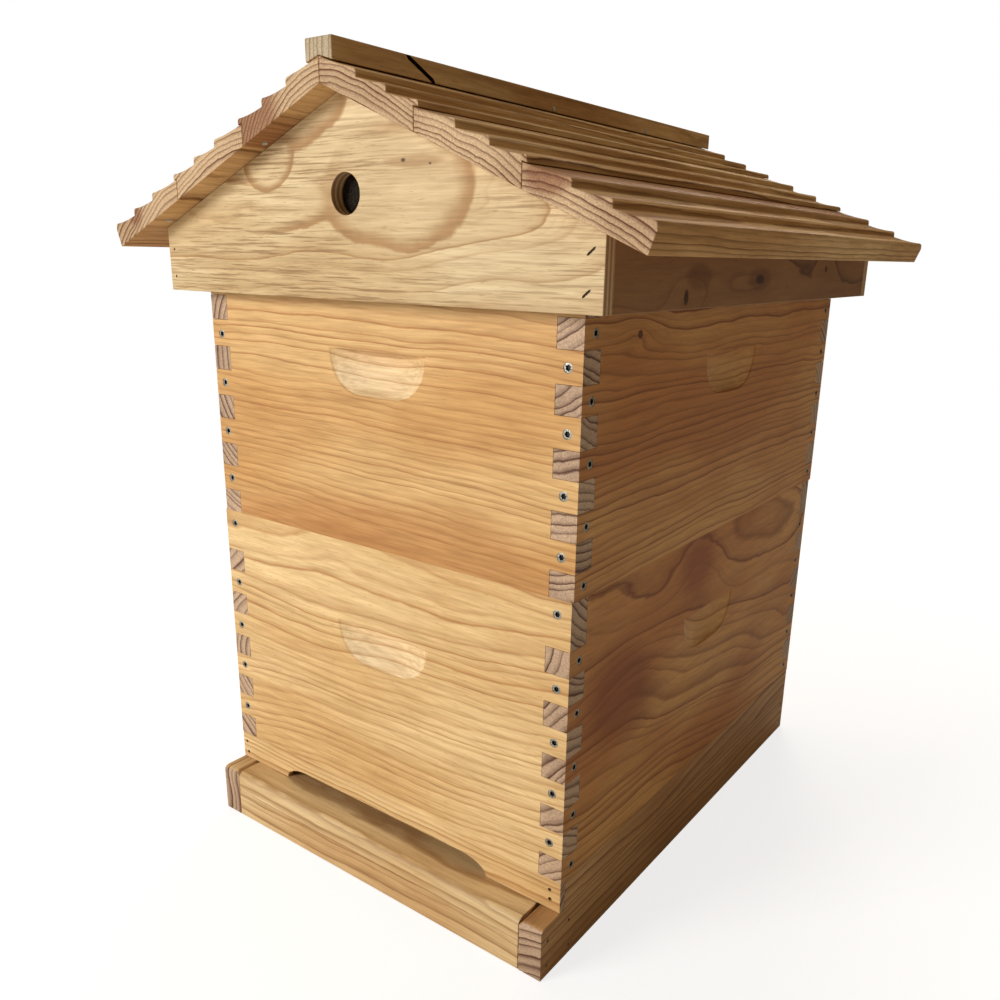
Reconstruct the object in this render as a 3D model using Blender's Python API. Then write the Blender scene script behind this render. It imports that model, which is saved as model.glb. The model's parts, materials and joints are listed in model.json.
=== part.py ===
"""Two-box, ten-frame beehive with a slatted gable roof.

The hive stands on its two base rails. +X is to the right of the entrance, the
entrance faces -Y and +Z is up. The origin is under the centre of the roof.
Each layer has an empty on the lift axis and holds the layer above it.
"""

import math

import bmesh
import bpy
from mathutils import Vector

GAP = 0.0003
WELD = 0.00001
FLAT_ANGLE = 0.001
CUTTER_LENGTH = 0.05
HOLE_STEPS = 48

# Boxes, outside size and joinery
BOX_WIDTH = 0.402
BOX_DEPTH = 0.508
BOX_HEIGHT = 0.243
WALL = 0.022
SIDE_FINGER = 0.0216
FRONT_FINGER = 0.0238
FINGER_PAIRS = 4
BOX_CENTRE_X = -0.0005
BOX_FRONT_Y = -0.2645
SUPER_SHIFT_X = 0.0015
REBATE_DEPTH = 0.016
REBATE_WIDTH = 0.010

# Hand recesses, cut as a wheel leaves them
RECESS_TOP = 0.1667
RECESS_HEIGHT = 0.038
RECESS_DEPTH = 0.012
RECESS_RADIUS = 0.1275
RECESS_LEVELS = 6
RECESS_STEPS = 112
RECESS_OFFSET_X = 0.006
RECESS_OFFSET_Y = -0.004

# Base
RAIL_WIDTH = 0.0225
RAIL_HEIGHT = 0.049
BASE_FRONT = 0.026
RAIL_NOSE = 0.005
ROUNDING_STEPS = 5
RAIL_CHAMFER = 0.004
FLOOR_THICKNESS = 0.020
LANDING_DEPTH = 0.096
LANDING_NOSE = 0.006
FLOOR_BOARDS = 3
CROSS_RAIL_WIDTH = 0.022
RIM_HEIGHT = 0.029
RIM_FRONT_THICKNESS = 0.007
ENTRANCE_HALF_WIDTH = 0.128
ENTRANCE_OFFSET_X = -0.004
ENTRANCE_HEIGHT = 0.013
ENTRANCE_END = 0.028
ENTRANCE_STEPS = 6

# Frames
FRAME_COUNT = 10
FRAME_PITCH = 0.035
FRAME_SHOULDER = 0.0346
FRAME_SHOULDER_HEIGHT = 0.080
TOP_BAR_LENGTH = 0.482
TOP_BAR_WIDTH = 0.025
TOP_BAR_HEIGHT = 0.020
LUG_HEIGHT = 0.010
FRAME_LENGTH = 0.448
FRAME_HEIGHT = 0.232
END_BAR_WIDTH = 0.028
END_BAR_THICKNESS = 0.0095
BOTTOM_BAR_WIDTH = 0.020
BOTTOM_BAR_HEIGHT = 0.0095
FOUNDATION_THICKNESS = 0.003
FOUNDATION_INSET = 0.005
FRAME_END_OVERLAP = 0.002
FRAME_BOTTOM_STEP = 0.001
FRAME_JOINT_STEP = 0.0005
FRAME_TOP_SPACE = 0.0057

# Inner cover
COVER_BATTEN_WIDTH = 0.022
COVER_BATTEN_HEIGHT = 0.008
COVER_PANEL = 0.006
FEED_HOLE_RADIUS = 0.030

# Roof
ROOF_ANGLE = math.radians(22.8)
ROOF_UNDERSIDE = 0.677
ROOF_BOTTOM = 0.5277
GABLE_HALF_WIDTH = 0.2274
GABLE_THICKNESS = 0.012
GABLE_FRONT_Y = -0.2848
GABLE_REAR_Y = 0.2772
VENT_RADIUS = 0.0152
VENT_HEIGHT = 0.605
VENT_MESH = 0.035
VENT_MESH_THICKNESS = 0.0008
ROOF_BATTEN = (0.380, 0.030, 0.008)
SLAT_LENGTH = 0.6125
SLAT_JOINTS = (0.0, 0.0885, 0.1775)
SLAT_NOSES = ((0.0360, 0.0640, 0.0930), (0.1243, 0.1523, 0.1815), (0.2146, 0.2436, 0.2735))
SLAT_THICKNESS = 0.020
SLAT_STEP = 0.0056
SLAT_HOLLOW = 0.0009
SLAT_HOLLOW_SHARES = (0.3, 0.6, 0.85)
SLAT_OVERHANG = 0.0214
SLAT_RIDGE_RISE = 0.0175
SLAT_EAVE_WIDTH = 0.0052
NOSE_ROUND = 0.0022
NOSE_ROUND_POINTS = ((0.3, 0.15), (0.0, 0.8))
LIP_CLEARANCE = 0.0008
CAP_HALF_WIDTH = 0.0135
CAP_TOP = 0.7067
CAP_BOTTOM = 0.6908
CAP_GROOVE = 0.0041

# Heights of the layers above the ground
RIM_BOTTOM = RAIL_HEIGHT
BROOD_BOTTOM = RAIL_HEIGHT + RIM_HEIGHT
SUPER_BOTTOM = BROOD_BOTTOM + BOX_HEIGHT
COVER_BOTTOM = SUPER_BOTTOM + BOX_HEIGHT
COVER_TOP = COVER_BOTTOM + COVER_BATTEN_HEIGHT + COVER_PANEL

PINE = (0.80, 0.56, 0.30, 1.0)
PALE_PINE = (0.84, 0.63, 0.36, 1.0)
ROOF_PINE = (0.62, 0.43, 0.25, 1.0)
PLYWOOD = (0.86, 0.72, 0.50, 1.0)
FRAME_WOOD = (0.86, 0.74, 0.53, 1.0)
WIRE = (0.10, 0.10, 0.10, 1.0)

FACING_FRONT = (math.pi / 2, 0.0, 0.0)
FACING_SIDE = (math.pi / 2, 0.0, math.pi / 2)


def clear_scene():
    for item in list(bpy.data.objects):
        bpy.data.objects.remove(item, do_unlink=True)


def new_collection(name, hidden=False):
    collection = bpy.data.collections.new(name)
    bpy.context.scene.collection.children.link(collection)
    collection.hide_render = hidden
    return collection


clear_scene()
PARTS = new_collection("beehive")
CUTTERS = new_collection("cutters", hidden=True)


def finish_material(item, colour, roughness, metallic=0.0):
    """Gives the object its own plain material."""
    material = bpy.data.materials.new(item.name)
    material.use_nodes = True
    shader = material.node_tree.nodes["Principled BSDF"]
    shader.inputs["Base Color"].default_value = colour
    shader.inputs["Roughness"].default_value = roughness
    shader.inputs["Metallic"].default_value = metallic
    item.data.materials.clear()
    item.data.materials.append(material)


def place(name, mesh, location, rotation, parent):
    """Links a mesh as a part, keeping its place when it gets a parent."""
    item = bpy.data.objects.new(name, mesh)
    PARTS.objects.link(item)
    item.rotation_euler = rotation
    item.parent = parent
    item.location = Vector(location)
    if parent is not None:
        item.location -= world_place(parent)
    return item


def world_place(item):
    """Adds up the locations of the object and the empties that carry it."""
    total = Vector(item.location)
    while item.parent is not None:
        item = item.parent
        total += item.location
    return total


def lift_axis(name, height, parent=None):
    """An empty on the vertical axis that a layer lifts along."""
    empty = bpy.data.objects.new(name, None)
    PARTS.objects.link(empty)
    empty.parent = parent
    empty.location = Vector((BOX_CENTRE_X, BOX_FRONT_Y + BOX_DEPTH / 2, height))
    if parent is not None:
        empty.location -= world_place(parent)
    return empty


def box_mesh(name, size):
    mesh = bpy.data.meshes.new(name)
    shape = bmesh.new()
    bmesh.ops.create_cube(shape, size=1.0)
    bmesh.ops.scale(shape, vec=Vector(size), verts=shape.verts)
    shape.to_mesh(mesh)
    shape.free()
    return mesh


def board(name, low, high, parent, colour=PINE, roughness=0.6):
    """A plain board between two corners."""
    size = [b - a for a, b in zip(low, high)]
    centre = [(a + b) / 2 for a, b in zip(low, high)]
    item = place(name, box_mesh(name, size), centre, (0.0, 0.0, 0.0), parent)
    finish_material(item, colour, roughness)
    return item


def outline_mesh(name, points, thickness):
    """A flat outline, filled and thickened evenly to both sides."""
    curve = bpy.data.curves.new(name, "CURVE")
    curve.dimensions = "2D"
    curve.fill_mode = "BOTH"
    curve.extrude = thickness / 2
    spline = curve.splines.new("POLY")
    spline.points.add(len(points) - 1)
    for point, (across, up) in zip(spline.points, points):
        point.co = (across, up, 0.0, 1.0)
    spline.use_cyclic_u = True
    source = bpy.data.objects.new(name + "_outline", curve)
    CUTTERS.objects.link(source)
    bpy.context.view_layer.update()
    graph = bpy.context.evaluated_depsgraph_get()
    mesh = bpy.data.meshes.new_from_object(source.evaluated_get(graph))
    bpy.data.objects.remove(source, do_unlink=True)
    shape = bmesh.new()
    shape.from_mesh(mesh)
    bmesh.ops.remove_doubles(shape, verts=shape.verts, dist=WELD)
    for side in (-1, 1):
        cap = [face for face in shape.faces if all(side * v.co.z > 0 for v in face.verts)]
        bmesh.ops.dissolve_faces(shape, faces=cap)
    bmesh.ops.recalc_face_normals(shape, faces=shape.faces)
    shape.to_mesh(mesh)
    shape.free()
    mesh.name = name
    return mesh


def cutter(name, mesh, location, rotation=(0.0, 0.0, 0.0)):
    item = bpy.data.objects.new(name, mesh)
    CUTTERS.objects.link(item)
    item.location = location
    item.rotation_euler = rotation
    item.hide_render = True
    item.display_type = "WIRE"
    return item


def cut(item, tool, operation="DIFFERENCE"):
    modifier = item.modifiers.new(tool.name, "BOOLEAN")
    modifier.operation = operation
    modifier.solver = "EXACT"
    modifier.object = tool


def wheel_mesh(name, profile, steps):
    """Turns a (radius, height) profile round the vertical axis."""
    mesh = bpy.data.meshes.new(name)
    shape = bmesh.new()
    corners = [shape.verts.new((radius, 0.0, height)) for radius, height in profile]
    edges = [shape.edges.new(pair) for pair in zip(corners, corners[1:])]
    bmesh.ops.spin(
        shape,
        geom=corners + edges,
        cent=(0.0, 0.0, 0.0),
        axis=(0.0, 0.0, 1.0),
        angle=2 * math.pi,
        steps=steps,
        use_merge=True,
    )
    bmesh.ops.remove_doubles(shape, verts=shape.verts, dist=WELD)
    bmesh.ops.recalc_face_normals(shape, faces=shape.faces)
    shape.to_mesh(mesh)
    shape.free()
    return mesh


def tube_cutter(name, radius, steps, location, rotation):
    mesh = bpy.data.meshes.new(name)
    shape = bmesh.new()
    bmesh.ops.create_cone(
        shape,
        cap_ends=True,
        segments=steps,
        radius1=radius,
        radius2=radius,
        depth=CUTTER_LENGTH,
    )
    shape.to_mesh(mesh)
    shape.free()
    return cutter(name, mesh, location, rotation)


# Boxes ------------------------------------------------------------------------


def finger_levels():
    """Heights where the finger joint changes sides, from the bottom up."""
    levels = [0.0]
    for _ in range(FINGER_PAIRS):
        levels.append(levels[-1] + SIDE_FINGER)
        levels.append(levels[-1] + FRONT_FINGER)
    levels.append(levels[-1] + SIDE_FINGER)
    levels.append(BOX_HEIGHT)
    return levels


def toothed_outline(length, long_on_side_fingers):
    """A board's outline with fingers at both ends; side fingers come first."""
    short = WALL + GAP
    levels = finger_levels()
    edge = []
    for index, (low, high) in enumerate(zip(levels, levels[1:])):
        side_finger = index % 2 == 0
        reach = 0.0 if side_finger == long_on_side_fingers else short
        inset = GAP / 2 if reach == 0.0 else -GAP / 2
        bottom = low if low == 0.0 else low + inset
        top = high if high == BOX_HEIGHT else high - inset
        edge.append((reach, bottom))
        edge.append((reach, top))
    left = [(across - length / 2, up) for across, up in edge]
    right = [(length / 2 - across, up) for across, up in reversed(edge)]
    return left + right


def recess_profile():
    """Deepest under the flat top, fading out below in a quarter ellipse."""
    profile = [(0.0, 0.0)]
    for level in range(RECESS_LEVELS + 1):
        turn = math.pi / 2 * level / RECESS_LEVELS
        radius = RECESS_RADIUS - RECESS_DEPTH * (1 - math.cos(turn))
        profile.append((radius, -RECESS_HEIGHT * math.sin(turn)))
    profile[-1] = (RECESS_RADIUS - RECESS_DEPTH - GAP, -RECESS_HEIGHT)
    profile.append((0.0, -RECESS_HEIGHT))
    return profile


RECESS_WHEEL = wheel_mesh("recess_wheel", recess_profile(), RECESS_STEPS)


def cut_recess(item, face, outward, height):
    """Cuts a hand recess in a wall whose outer face has this centre and normal."""
    centre = Vector(face) + Vector(outward) * (RECESS_RADIUS - RECESS_DEPTH)
    centre.z = height + RECESS_TOP
    cut(item, cutter(item.name + "_recess", RECESS_WHEEL, centre))


def build_box(prefix, centre_x, bottom, parent):
    """Front, rear, left and right boards of one box."""
    end_mesh = outline_mesh(prefix + "_end", toothed_outline(BOX_WIDTH, False), WALL)
    side_mesh = outline_mesh(prefix + "_side", toothed_outline(BOX_DEPTH, True), WALL)
    rear_y = BOX_FRONT_Y + BOX_DEPTH
    middle_y = BOX_FRONT_Y + BOX_DEPTH / 2
    for name, face_y, inward in (("front", BOX_FRONT_Y, 1), ("rear", rear_y, -1)):
        where = (centre_x, face_y + inward * WALL / 2, bottom)
        item = place(prefix + "_" + name, end_mesh.copy(), where, FACING_FRONT, parent)
        finish_material(item, PINE, 0.6)
        rebate_size = (BOX_WIDTH - 2 * WALL - 2 * GAP, 2 * REBATE_WIDTH, 2 * REBATE_DEPTH)
        rebate_place = (centre_x, face_y + inward * WALL, bottom + BOX_HEIGHT)
        rebate = box_mesh(item.name + "_rebate", rebate_size)
        cut(item, cutter(item.name + "_rebate", rebate, rebate_place))
        face = (centre_x + RECESS_OFFSET_X, face_y, 0.0)
        cut_recess(item, face, (0.0, -inward, 0.0), bottom)
    for name, side in (("left", -1), ("right", 1)):
        face_x = centre_x + side * BOX_WIDTH / 2
        where = (face_x - side * WALL / 2, middle_y, bottom)
        item = place(prefix + "_" + name, side_mesh.copy(), where, FACING_SIDE, parent)
        finish_material(item, PINE, 0.6)
        face = (face_x, middle_y + RECESS_OFFSET_Y, 0.0)
        cut_recess(item, face, (side, 0.0, 0.0), bottom)


# Frames -----------------------------------------------------------------------


def frame_mesh():
    """One wooden frame with its foundation sheet, top face at height zero."""
    top_bar = (TOP_BAR_WIDTH, FRAME_LENGTH - 2 * FRAME_END_OVERLAP, TOP_BAR_HEIGHT)
    lugs = (TOP_BAR_WIDTH - 2 * FRAME_JOINT_STEP, TOP_BAR_LENGTH, LUG_HEIGHT)
    bottom_bar = (BOTTOM_BAR_WIDTH, FRAME_LENGTH - 2 * FRAME_BOTTOM_STEP, BOTTOM_BAR_HEIGHT)
    foundation = (
        FOUNDATION_THICKNESS,
        FRAME_LENGTH - 2 * FOUNDATION_INSET,
        FRAME_HEIGHT - 4 * FOUNDATION_INSET,
    )
    end_bar = (END_BAR_WIDTH, END_BAR_THICKNESS, FRAME_HEIGHT - 4 * FRAME_BOTTOM_STEP)
    shoulder = (FRAME_SHOULDER, END_BAR_THICKNESS + 2 * FRAME_JOINT_STEP, FRAME_SHOULDER_HEIGHT)
    middle_z = -FRAME_HEIGHT / 2
    blocks = [
        (top_bar, (0.0, 0.0, -TOP_BAR_HEIGHT / 2)),
        (lugs, (0.0, 0.0, -LUG_HEIGHT / 2)),
        (bottom_bar, (0.0, 0.0, BOTTOM_BAR_HEIGHT / 2 - FRAME_HEIGHT)),
        (foundation, (0.0, 0.0, middle_z)),
    ]
    end_y = FRAME_LENGTH / 2 - END_BAR_THICKNESS / 2
    shoulder_z = -FRAME_SHOULDER_HEIGHT / 2 - LUG_HEIGHT
    for side in (-1, 1):
        blocks.append((end_bar, (0.0, side * end_y, middle_z - FRAME_BOTTOM_STEP)))
        blocks.append((shoulder, (0.0, side * end_y, shoulder_z)))
    tools = [
        cutter(f"frame_block_{index}", box_mesh("frame_block", size), centre)
        for index, (size, centre) in enumerate(blocks)
    ]
    whole = tools[0]
    for tool in tools[1:]:
        cut(whole, tool, "UNION")
    bpy.context.view_layer.update()
    graph = bpy.context.evaluated_depsgraph_get()
    mesh = bpy.data.meshes.new_from_object(whole.evaluated_get(graph))
    shape = bmesh.new()
    shape.from_mesh(mesh)
    bmesh.ops.translate(shape, vec=blocks[0][1], verts=shape.verts)
    bmesh.ops.dissolve_limit(shape, angle_limit=FLAT_ANGLE, verts=shape.verts, edges=shape.edges)
    shape.to_mesh(mesh)
    shape.free()
    for tool in tools:
        bpy.data.objects.remove(tool, do_unlink=True)
    return mesh


FRAME_MESH = frame_mesh()


def build_frames(prefix, centre_x, box_bottom, parent):
    top = box_bottom + BOX_HEIGHT - FRAME_TOP_SPACE
    middle_y = BOX_FRONT_Y + BOX_DEPTH / 2
    for index in range(FRAME_COUNT):
        across = centre_x + (index - (FRAME_COUNT - 1) / 2) * FRAME_PITCH
        name = f"{prefix}_frame_{index + 1:02d}"
        item = place(name, FRAME_MESH.copy(), (across, middle_y, top), (0.0, 0.0, 0.0), parent)
        finish_material(item, FRAME_WOOD, 0.65)


# Base -------------------------------------------------------------------------


def arc(centre, radius, start, end, steps):
    """Points on a circle; the angles are in degrees."""
    points = []
    for step in range(steps + 1):
        turn = math.radians(start + (end - start) * step / steps)
        across = centre[0] + radius * math.cos(turn)
        points.append((across, centre[1] + radius * math.sin(turn)))
    return points


def nosed_outline(length, height, nose):
    """A side view with its front top corner rounded; the front is at zero."""
    rounding = arc((nose, height - nose), nose, 90, 180, ROUNDING_STEPS)
    return [(0.0, 0.0), (length, 0.0), (length, height)] + rounding


def entrance_outline():
    """The front strip, with the bees' entrance along its lower edge."""
    half = BOX_WIDTH / 2
    height = RIM_HEIGHT - GAP
    left = ENTRANCE_OFFSET_X - ENTRANCE_HALF_WIDTH
    right = ENTRANCE_OFFSET_X + ENTRANCE_HALF_WIDTH
    rise = []
    for step in range(1, ENTRANCE_STEPS + 1):
        turn = math.pi / 2 * step / ENTRANCE_STEPS
        rise.append((ENTRANCE_END * (1 - math.cos(turn)), ENTRANCE_HEIGHT * math.sin(turn)))
    points = [(-half, 0.0), (left, 0.0)]
    points += [(left + across, up) for across, up in rise]
    points += [(right - across, up) for across, up in reversed(rise)]
    points += [(right, 0.0), (half, 0.0), (half, height), (-half, height)]
    return points


def build_base(parent):
    front = BOX_FRONT_Y - BASE_FRONT
    rear = BOX_FRONT_Y + BOX_DEPTH
    half = BOX_WIDTH / 2
    rail_outline = nosed_outline(rear - front, RAIL_HEIGHT - GAP, RAIL_NOSE)
    for name, side in (("left", -1), ("right", 1)):
        centre_x = BOX_CENTRE_X + side * (half - RAIL_WIDTH / 2)
        mesh = outline_mesh("rail_" + name, rail_outline, RAIL_WIDTH)
        item = place("base_rail_" + name, mesh, (centre_x, front, 0.0), FACING_SIDE, parent)
        finish_material(item, PINE, 0.6)
        edge = (BOX_CENTRE_X + side * (half - RAIL_WIDTH), (front + rear) / 2, RAIL_HEIGHT - GAP)
        size = RAIL_CHAMFER * math.sqrt(2)
        wedge = box_mesh(name + "_chamfer", (size, rear - front + CUTTER_LENGTH, size))
        cut(item, cutter(name + "_chamfer", wedge, edge, (0.0, math.pi / 4, 0.0)))
    inner = half - RAIL_WIDTH - GAP
    floor_bottom = RAIL_HEIGHT - GAP - FLOOR_THICKNESS
    landing = outline_mesh(
        "landing", nosed_outline(LANDING_DEPTH, FLOOR_THICKNESS, LANDING_NOSE), 2 * inner
    )
    where = (BOX_CENTRE_X, front, floor_bottom)
    item = place("landing_board", landing, where, FACING_SIDE, parent)
    finish_material(item, PALE_PINE, 0.55)
    start = front + LANDING_DEPTH
    pitch = (rear - start) / FLOOR_BOARDS
    for index in range(FLOOR_BOARDS):
        low = (BOX_CENTRE_X - inner, start + index * pitch + GAP, floor_bottom)
        high = (BOX_CENTRE_X + inner, start + (index + 1) * pitch, RAIL_HEIGHT - GAP)
        board(f"floor_board_{index + 1}", low, high, parent)
    for name, low_y in (("front", front), ("rear", rear - CROSS_RAIL_WIDTH)):
        low = (BOX_CENTRE_X - inner, low_y, 0.0)
        high = (BOX_CENTRE_X + inner, low_y + CROSS_RAIL_WIDTH, floor_bottom - GAP)
        board("cross_rail_" + name, low, high, parent)


def build_rim(parent):
    half = BOX_WIDTH / 2
    rear = BOX_FRONT_Y + BOX_DEPTH
    top = BROOD_BOTTOM - GAP
    strip = outline_mesh("rim_front", entrance_outline(), RIM_FRONT_THICKNESS)
    where = (BOX_CENTRE_X, BOX_FRONT_Y + RIM_FRONT_THICKNESS / 2, RIM_BOTTOM)
    item = place("rim_front", strip, where, FACING_FRONT, parent)
    finish_material(item, PALE_PINE, 0.55)
    start = BOX_FRONT_Y + RIM_FRONT_THICKNESS + GAP
    for name, side in (("left", -1), ("right", 1)):
        outer = BOX_CENTRE_X + side * half
        inner = outer - side * WALL
        low = (min(outer, inner), start, RIM_BOTTOM)
        board("rim_" + name, low, (max(outer, inner), rear, top), parent)
    across = half - WALL - GAP
    low = (BOX_CENTRE_X - across, rear - WALL, RIM_BOTTOM)
    board("rim_rear", low, (BOX_CENTRE_X + across, rear, top), parent)


# Inner cover ------------------------------------------------------------------


def build_cover(centre_x, parent):
    half = BOX_WIDTH / 2
    rear = BOX_FRONT_Y + BOX_DEPTH
    low_z = COVER_BOTTOM + GAP
    high_z = COVER_BOTTOM + COVER_BATTEN_HEIGHT
    for name, side in (("left", -1), ("right", 1)):
        outer = centre_x + side * half
        inner = outer - side * COVER_BATTEN_WIDTH
        low = (min(outer, inner), BOX_FRONT_Y, low_z)
        board("cover_batten_" + name, low, (max(outer, inner), rear, high_z), parent, PLYWOOD)
    across = half - COVER_BATTEN_WIDTH - GAP
    for name, low_y in (("front", BOX_FRONT_Y), ("rear", rear - COVER_BATTEN_WIDTH)):
        low = (centre_x - across, low_y, low_z)
        high = (centre_x + across, low_y + COVER_BATTEN_WIDTH, high_z)
        board("cover_batten_" + name, low, high, parent, PLYWOOD)
    low = (centre_x - half, BOX_FRONT_Y, high_z + GAP)
    panel = board("cover_panel", low, (centre_x + half, rear, COVER_TOP), parent, PLYWOOD)
    where = (centre_x, (BOX_FRONT_Y + rear) / 2, COVER_TOP)
    hole = tube_cutter("feed_hole", FEED_HOLE_RADIUS, HOLE_STEPS, where, (0.0, 0.0, 0.0))
    cut(panel, hole)


# Roof -------------------------------------------------------------------------


def underside(across):
    """Height of the slats' underside at this distance from the ridge."""
    return ROOF_UNDERSIDE - across * math.tan(ROOF_ANGLE)


def nose_top(across):
    return underside(across) + SLAT_THICKNESS / math.cos(ROOF_ANGLE)


def slat_outline(index):
    """End view of one slat of the right slope: stepped hollows, each with a nose."""
    start = SLAT_JOINTS[index] + GAP / 2
    if index == 0:
        surface = ROOF_UNDERSIDE + SLAT_RIDGE_RISE
    else:
        surface = nose_top(start) - SLAT_STEP
    points = [(start, underside(start)), (start, surface)]
    for nose in SLAT_NOSES[index]:
        left, low = points[-1]
        high = nose_top(nose)
        for share in SLAT_HOLLOW_SHARES:
            rise = low + (high - low) * share - SLAT_HOLLOW * math.sin(math.pi * share)
            points.append((left + (nose - left) * share, rise))
        points.append((nose - NOSE_ROUND, high + NOSE_ROUND * math.tan(ROOF_ANGLE) / 2))
        for back, down in NOSE_ROUND_POINTS:
            points.append((nose - NOSE_ROUND * back, high - NOSE_ROUND * down))
        points.append((nose, high - SLAT_STEP))
    if index + 1 < len(SLAT_JOINTS):
        edge = SLAT_JOINTS[index + 1] - GAP / 2
        points[-1] = (points[-1][0], points[-1][1] + LIP_CLEARANCE)
        points.append((edge, nose_top(edge) - SLAT_STEP + LIP_CLEARANCE))
        points.append((edge, underside(edge)))
    else:
        foot = points[-1][0] - SLAT_EAVE_WIDTH
        points.append((foot, underside(foot)))
    return points


def build_slats(parent):
    middle_y = GABLE_FRONT_Y - SLAT_OVERHANG + SLAT_LENGTH / 2
    for name, side in (("left", -1), ("right", 1)):
        for index in range(len(SLAT_NOSES)):
            points = [(side * across, up) for across, up in slat_outline(index)]
            mesh = outline_mesh("slat", points, SLAT_LENGTH)
            node = f"roof_slat_{name}_{index + 1}"
            item = place(node, mesh, (0.0, middle_y, 0.0), FACING_FRONT, parent)
            finish_material(item, ROOF_PINE, 0.6)
    groove = CAP_BOTTOM + CAP_GROOVE
    cap = [
        (-CAP_HALF_WIDTH, CAP_BOTTOM),
        (0.0, groove),
        (CAP_HALF_WIDTH, CAP_BOTTOM),
        (CAP_HALF_WIDTH, CAP_TOP),
        (-CAP_HALF_WIDTH, CAP_TOP),
    ]
    mesh = outline_mesh("ridge_cap", cap, SLAT_LENGTH)
    item = place("ridge_cap", mesh, (0.0, middle_y, 0.0), FACING_FRONT, parent)
    finish_material(item, ROOF_PINE, 0.6)


def build_gables(parent):
    half = GABLE_HALF_WIDTH
    corner = underside(half) - GAP
    outline = [
        (-half, ROOF_BOTTOM),
        (half, ROOF_BOTTOM),
        (half, corner),
        (0.0, ROOF_UNDERSIDE - GAP),
        (-half, corner),
    ]
    faces = (("front", GABLE_FRONT_Y, 1), ("rear", GABLE_REAR_Y, -1))
    for name, face_y, inward in faces:
        middle_y = face_y + inward * GABLE_THICKNESS / 2
        mesh = outline_mesh("gable_" + name, outline, GABLE_THICKNESS)
        item = place("gable_" + name, mesh, (0.0, middle_y, 0.0), FACING_FRONT, parent)
        finish_material(item, PLYWOOD, 0.6)
        where = (0.0, middle_y, VENT_HEIGHT)
        hole = tube_cutter("vent_" + name, VENT_RADIUS, HOLE_STEPS, where, FACING_FRONT)
        cut(item, hole)
        inside = face_y + inward * (GABLE_THICKNESS + GAP)
        far = inside + inward * VENT_MESH_THICKNESS
        low = (-VENT_MESH / 2, min(inside, far), VENT_HEIGHT - VENT_MESH / 2)
        high = (VENT_MESH / 2, max(inside, far), VENT_HEIGHT + VENT_MESH / 2)
        screen = board("vent_mesh_" + name, low, high, parent)
        finish_material(screen, WIRE, 0.4, 1.0)
        length, depth, height = ROOF_BATTEN
        far = inside + inward * depth
        low = (-length / 2, min(inside, far), COVER_TOP + GAP)
        high = (length / 2, max(inside, far), COVER_TOP + GAP + height)
        board("roof_batten_" + name, low, high, parent)


def build_aprons(parent):
    start = GABLE_FRONT_Y + GABLE_THICKNESS + GAP
    end = GABLE_REAR_Y - GABLE_THICKNESS - GAP
    for name, side in (("left", -1), ("right", 1)):
        outer = GABLE_HALF_WIDTH
        inner = outer - GABLE_THICKNESS
        outline = [
            (side * inner, ROOF_BOTTOM),
            (side * outer, ROOF_BOTTOM),
            (side * outer, underside(outer) - GAP),
            (side * inner, underside(inner) - GAP),
        ]
        mesh = outline_mesh("apron_" + name, outline, end - start)
        where = (0.0, (start + end) / 2, 0.0)
        item = place("apron_" + name, mesh, where, FACING_FRONT, parent)
        finish_material(item, PLYWOOD, 0.6)


base = lift_axis("base", 0.0)
brood_box = lift_axis("brood_box", BROOD_BOTTOM, base)
brood_frames = lift_axis("brood_frames", BROOD_BOTTOM + BOX_HEIGHT, brood_box)
super_box = lift_axis("super_box", SUPER_BOTTOM, brood_frames)
super_frames = lift_axis("super_frames", SUPER_BOTTOM + BOX_HEIGHT, super_box)
inner_cover = lift_axis("inner_cover", COVER_BOTTOM, super_frames)
roof = lift_axis("roof", ROOF_BOTTOM, inner_cover)

SUPER_CENTRE_X = BOX_CENTRE_X + SUPER_SHIFT_X
build_base(base)
build_rim(base)
build_box("brood", BOX_CENTRE_X, BROOD_BOTTOM, brood_box)
build_frames("brood", BOX_CENTRE_X, BROOD_BOTTOM, brood_frames)
build_box("super", SUPER_CENTRE_X, SUPER_BOTTOM, super_box)
build_frames("super", SUPER_CENTRE_X, SUPER_BOTTOM, super_frames)
build_cover(SUPER_CENTRE_X, inner_cover)
build_slats(roof)
build_gables(roof)
build_aprons(roof)
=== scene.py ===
"""Looks of a two-box beehive: pine and plywood boards, screws, brads, staples and screens.

Each wooden CAD node is stood for by a board of the same shape, with its edges eased, its
fastener pits cut and its grain running through the solid, so that faces and ends agree.
Distances are in metres in the CAD model's own frame: the entrance faces -Y and +Z is up.
"""

import json
import math
import random

import bmesh
import bpy
from mathutils import Matrix, Vector
from mathutils.bvhtree import BVHTree


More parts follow.
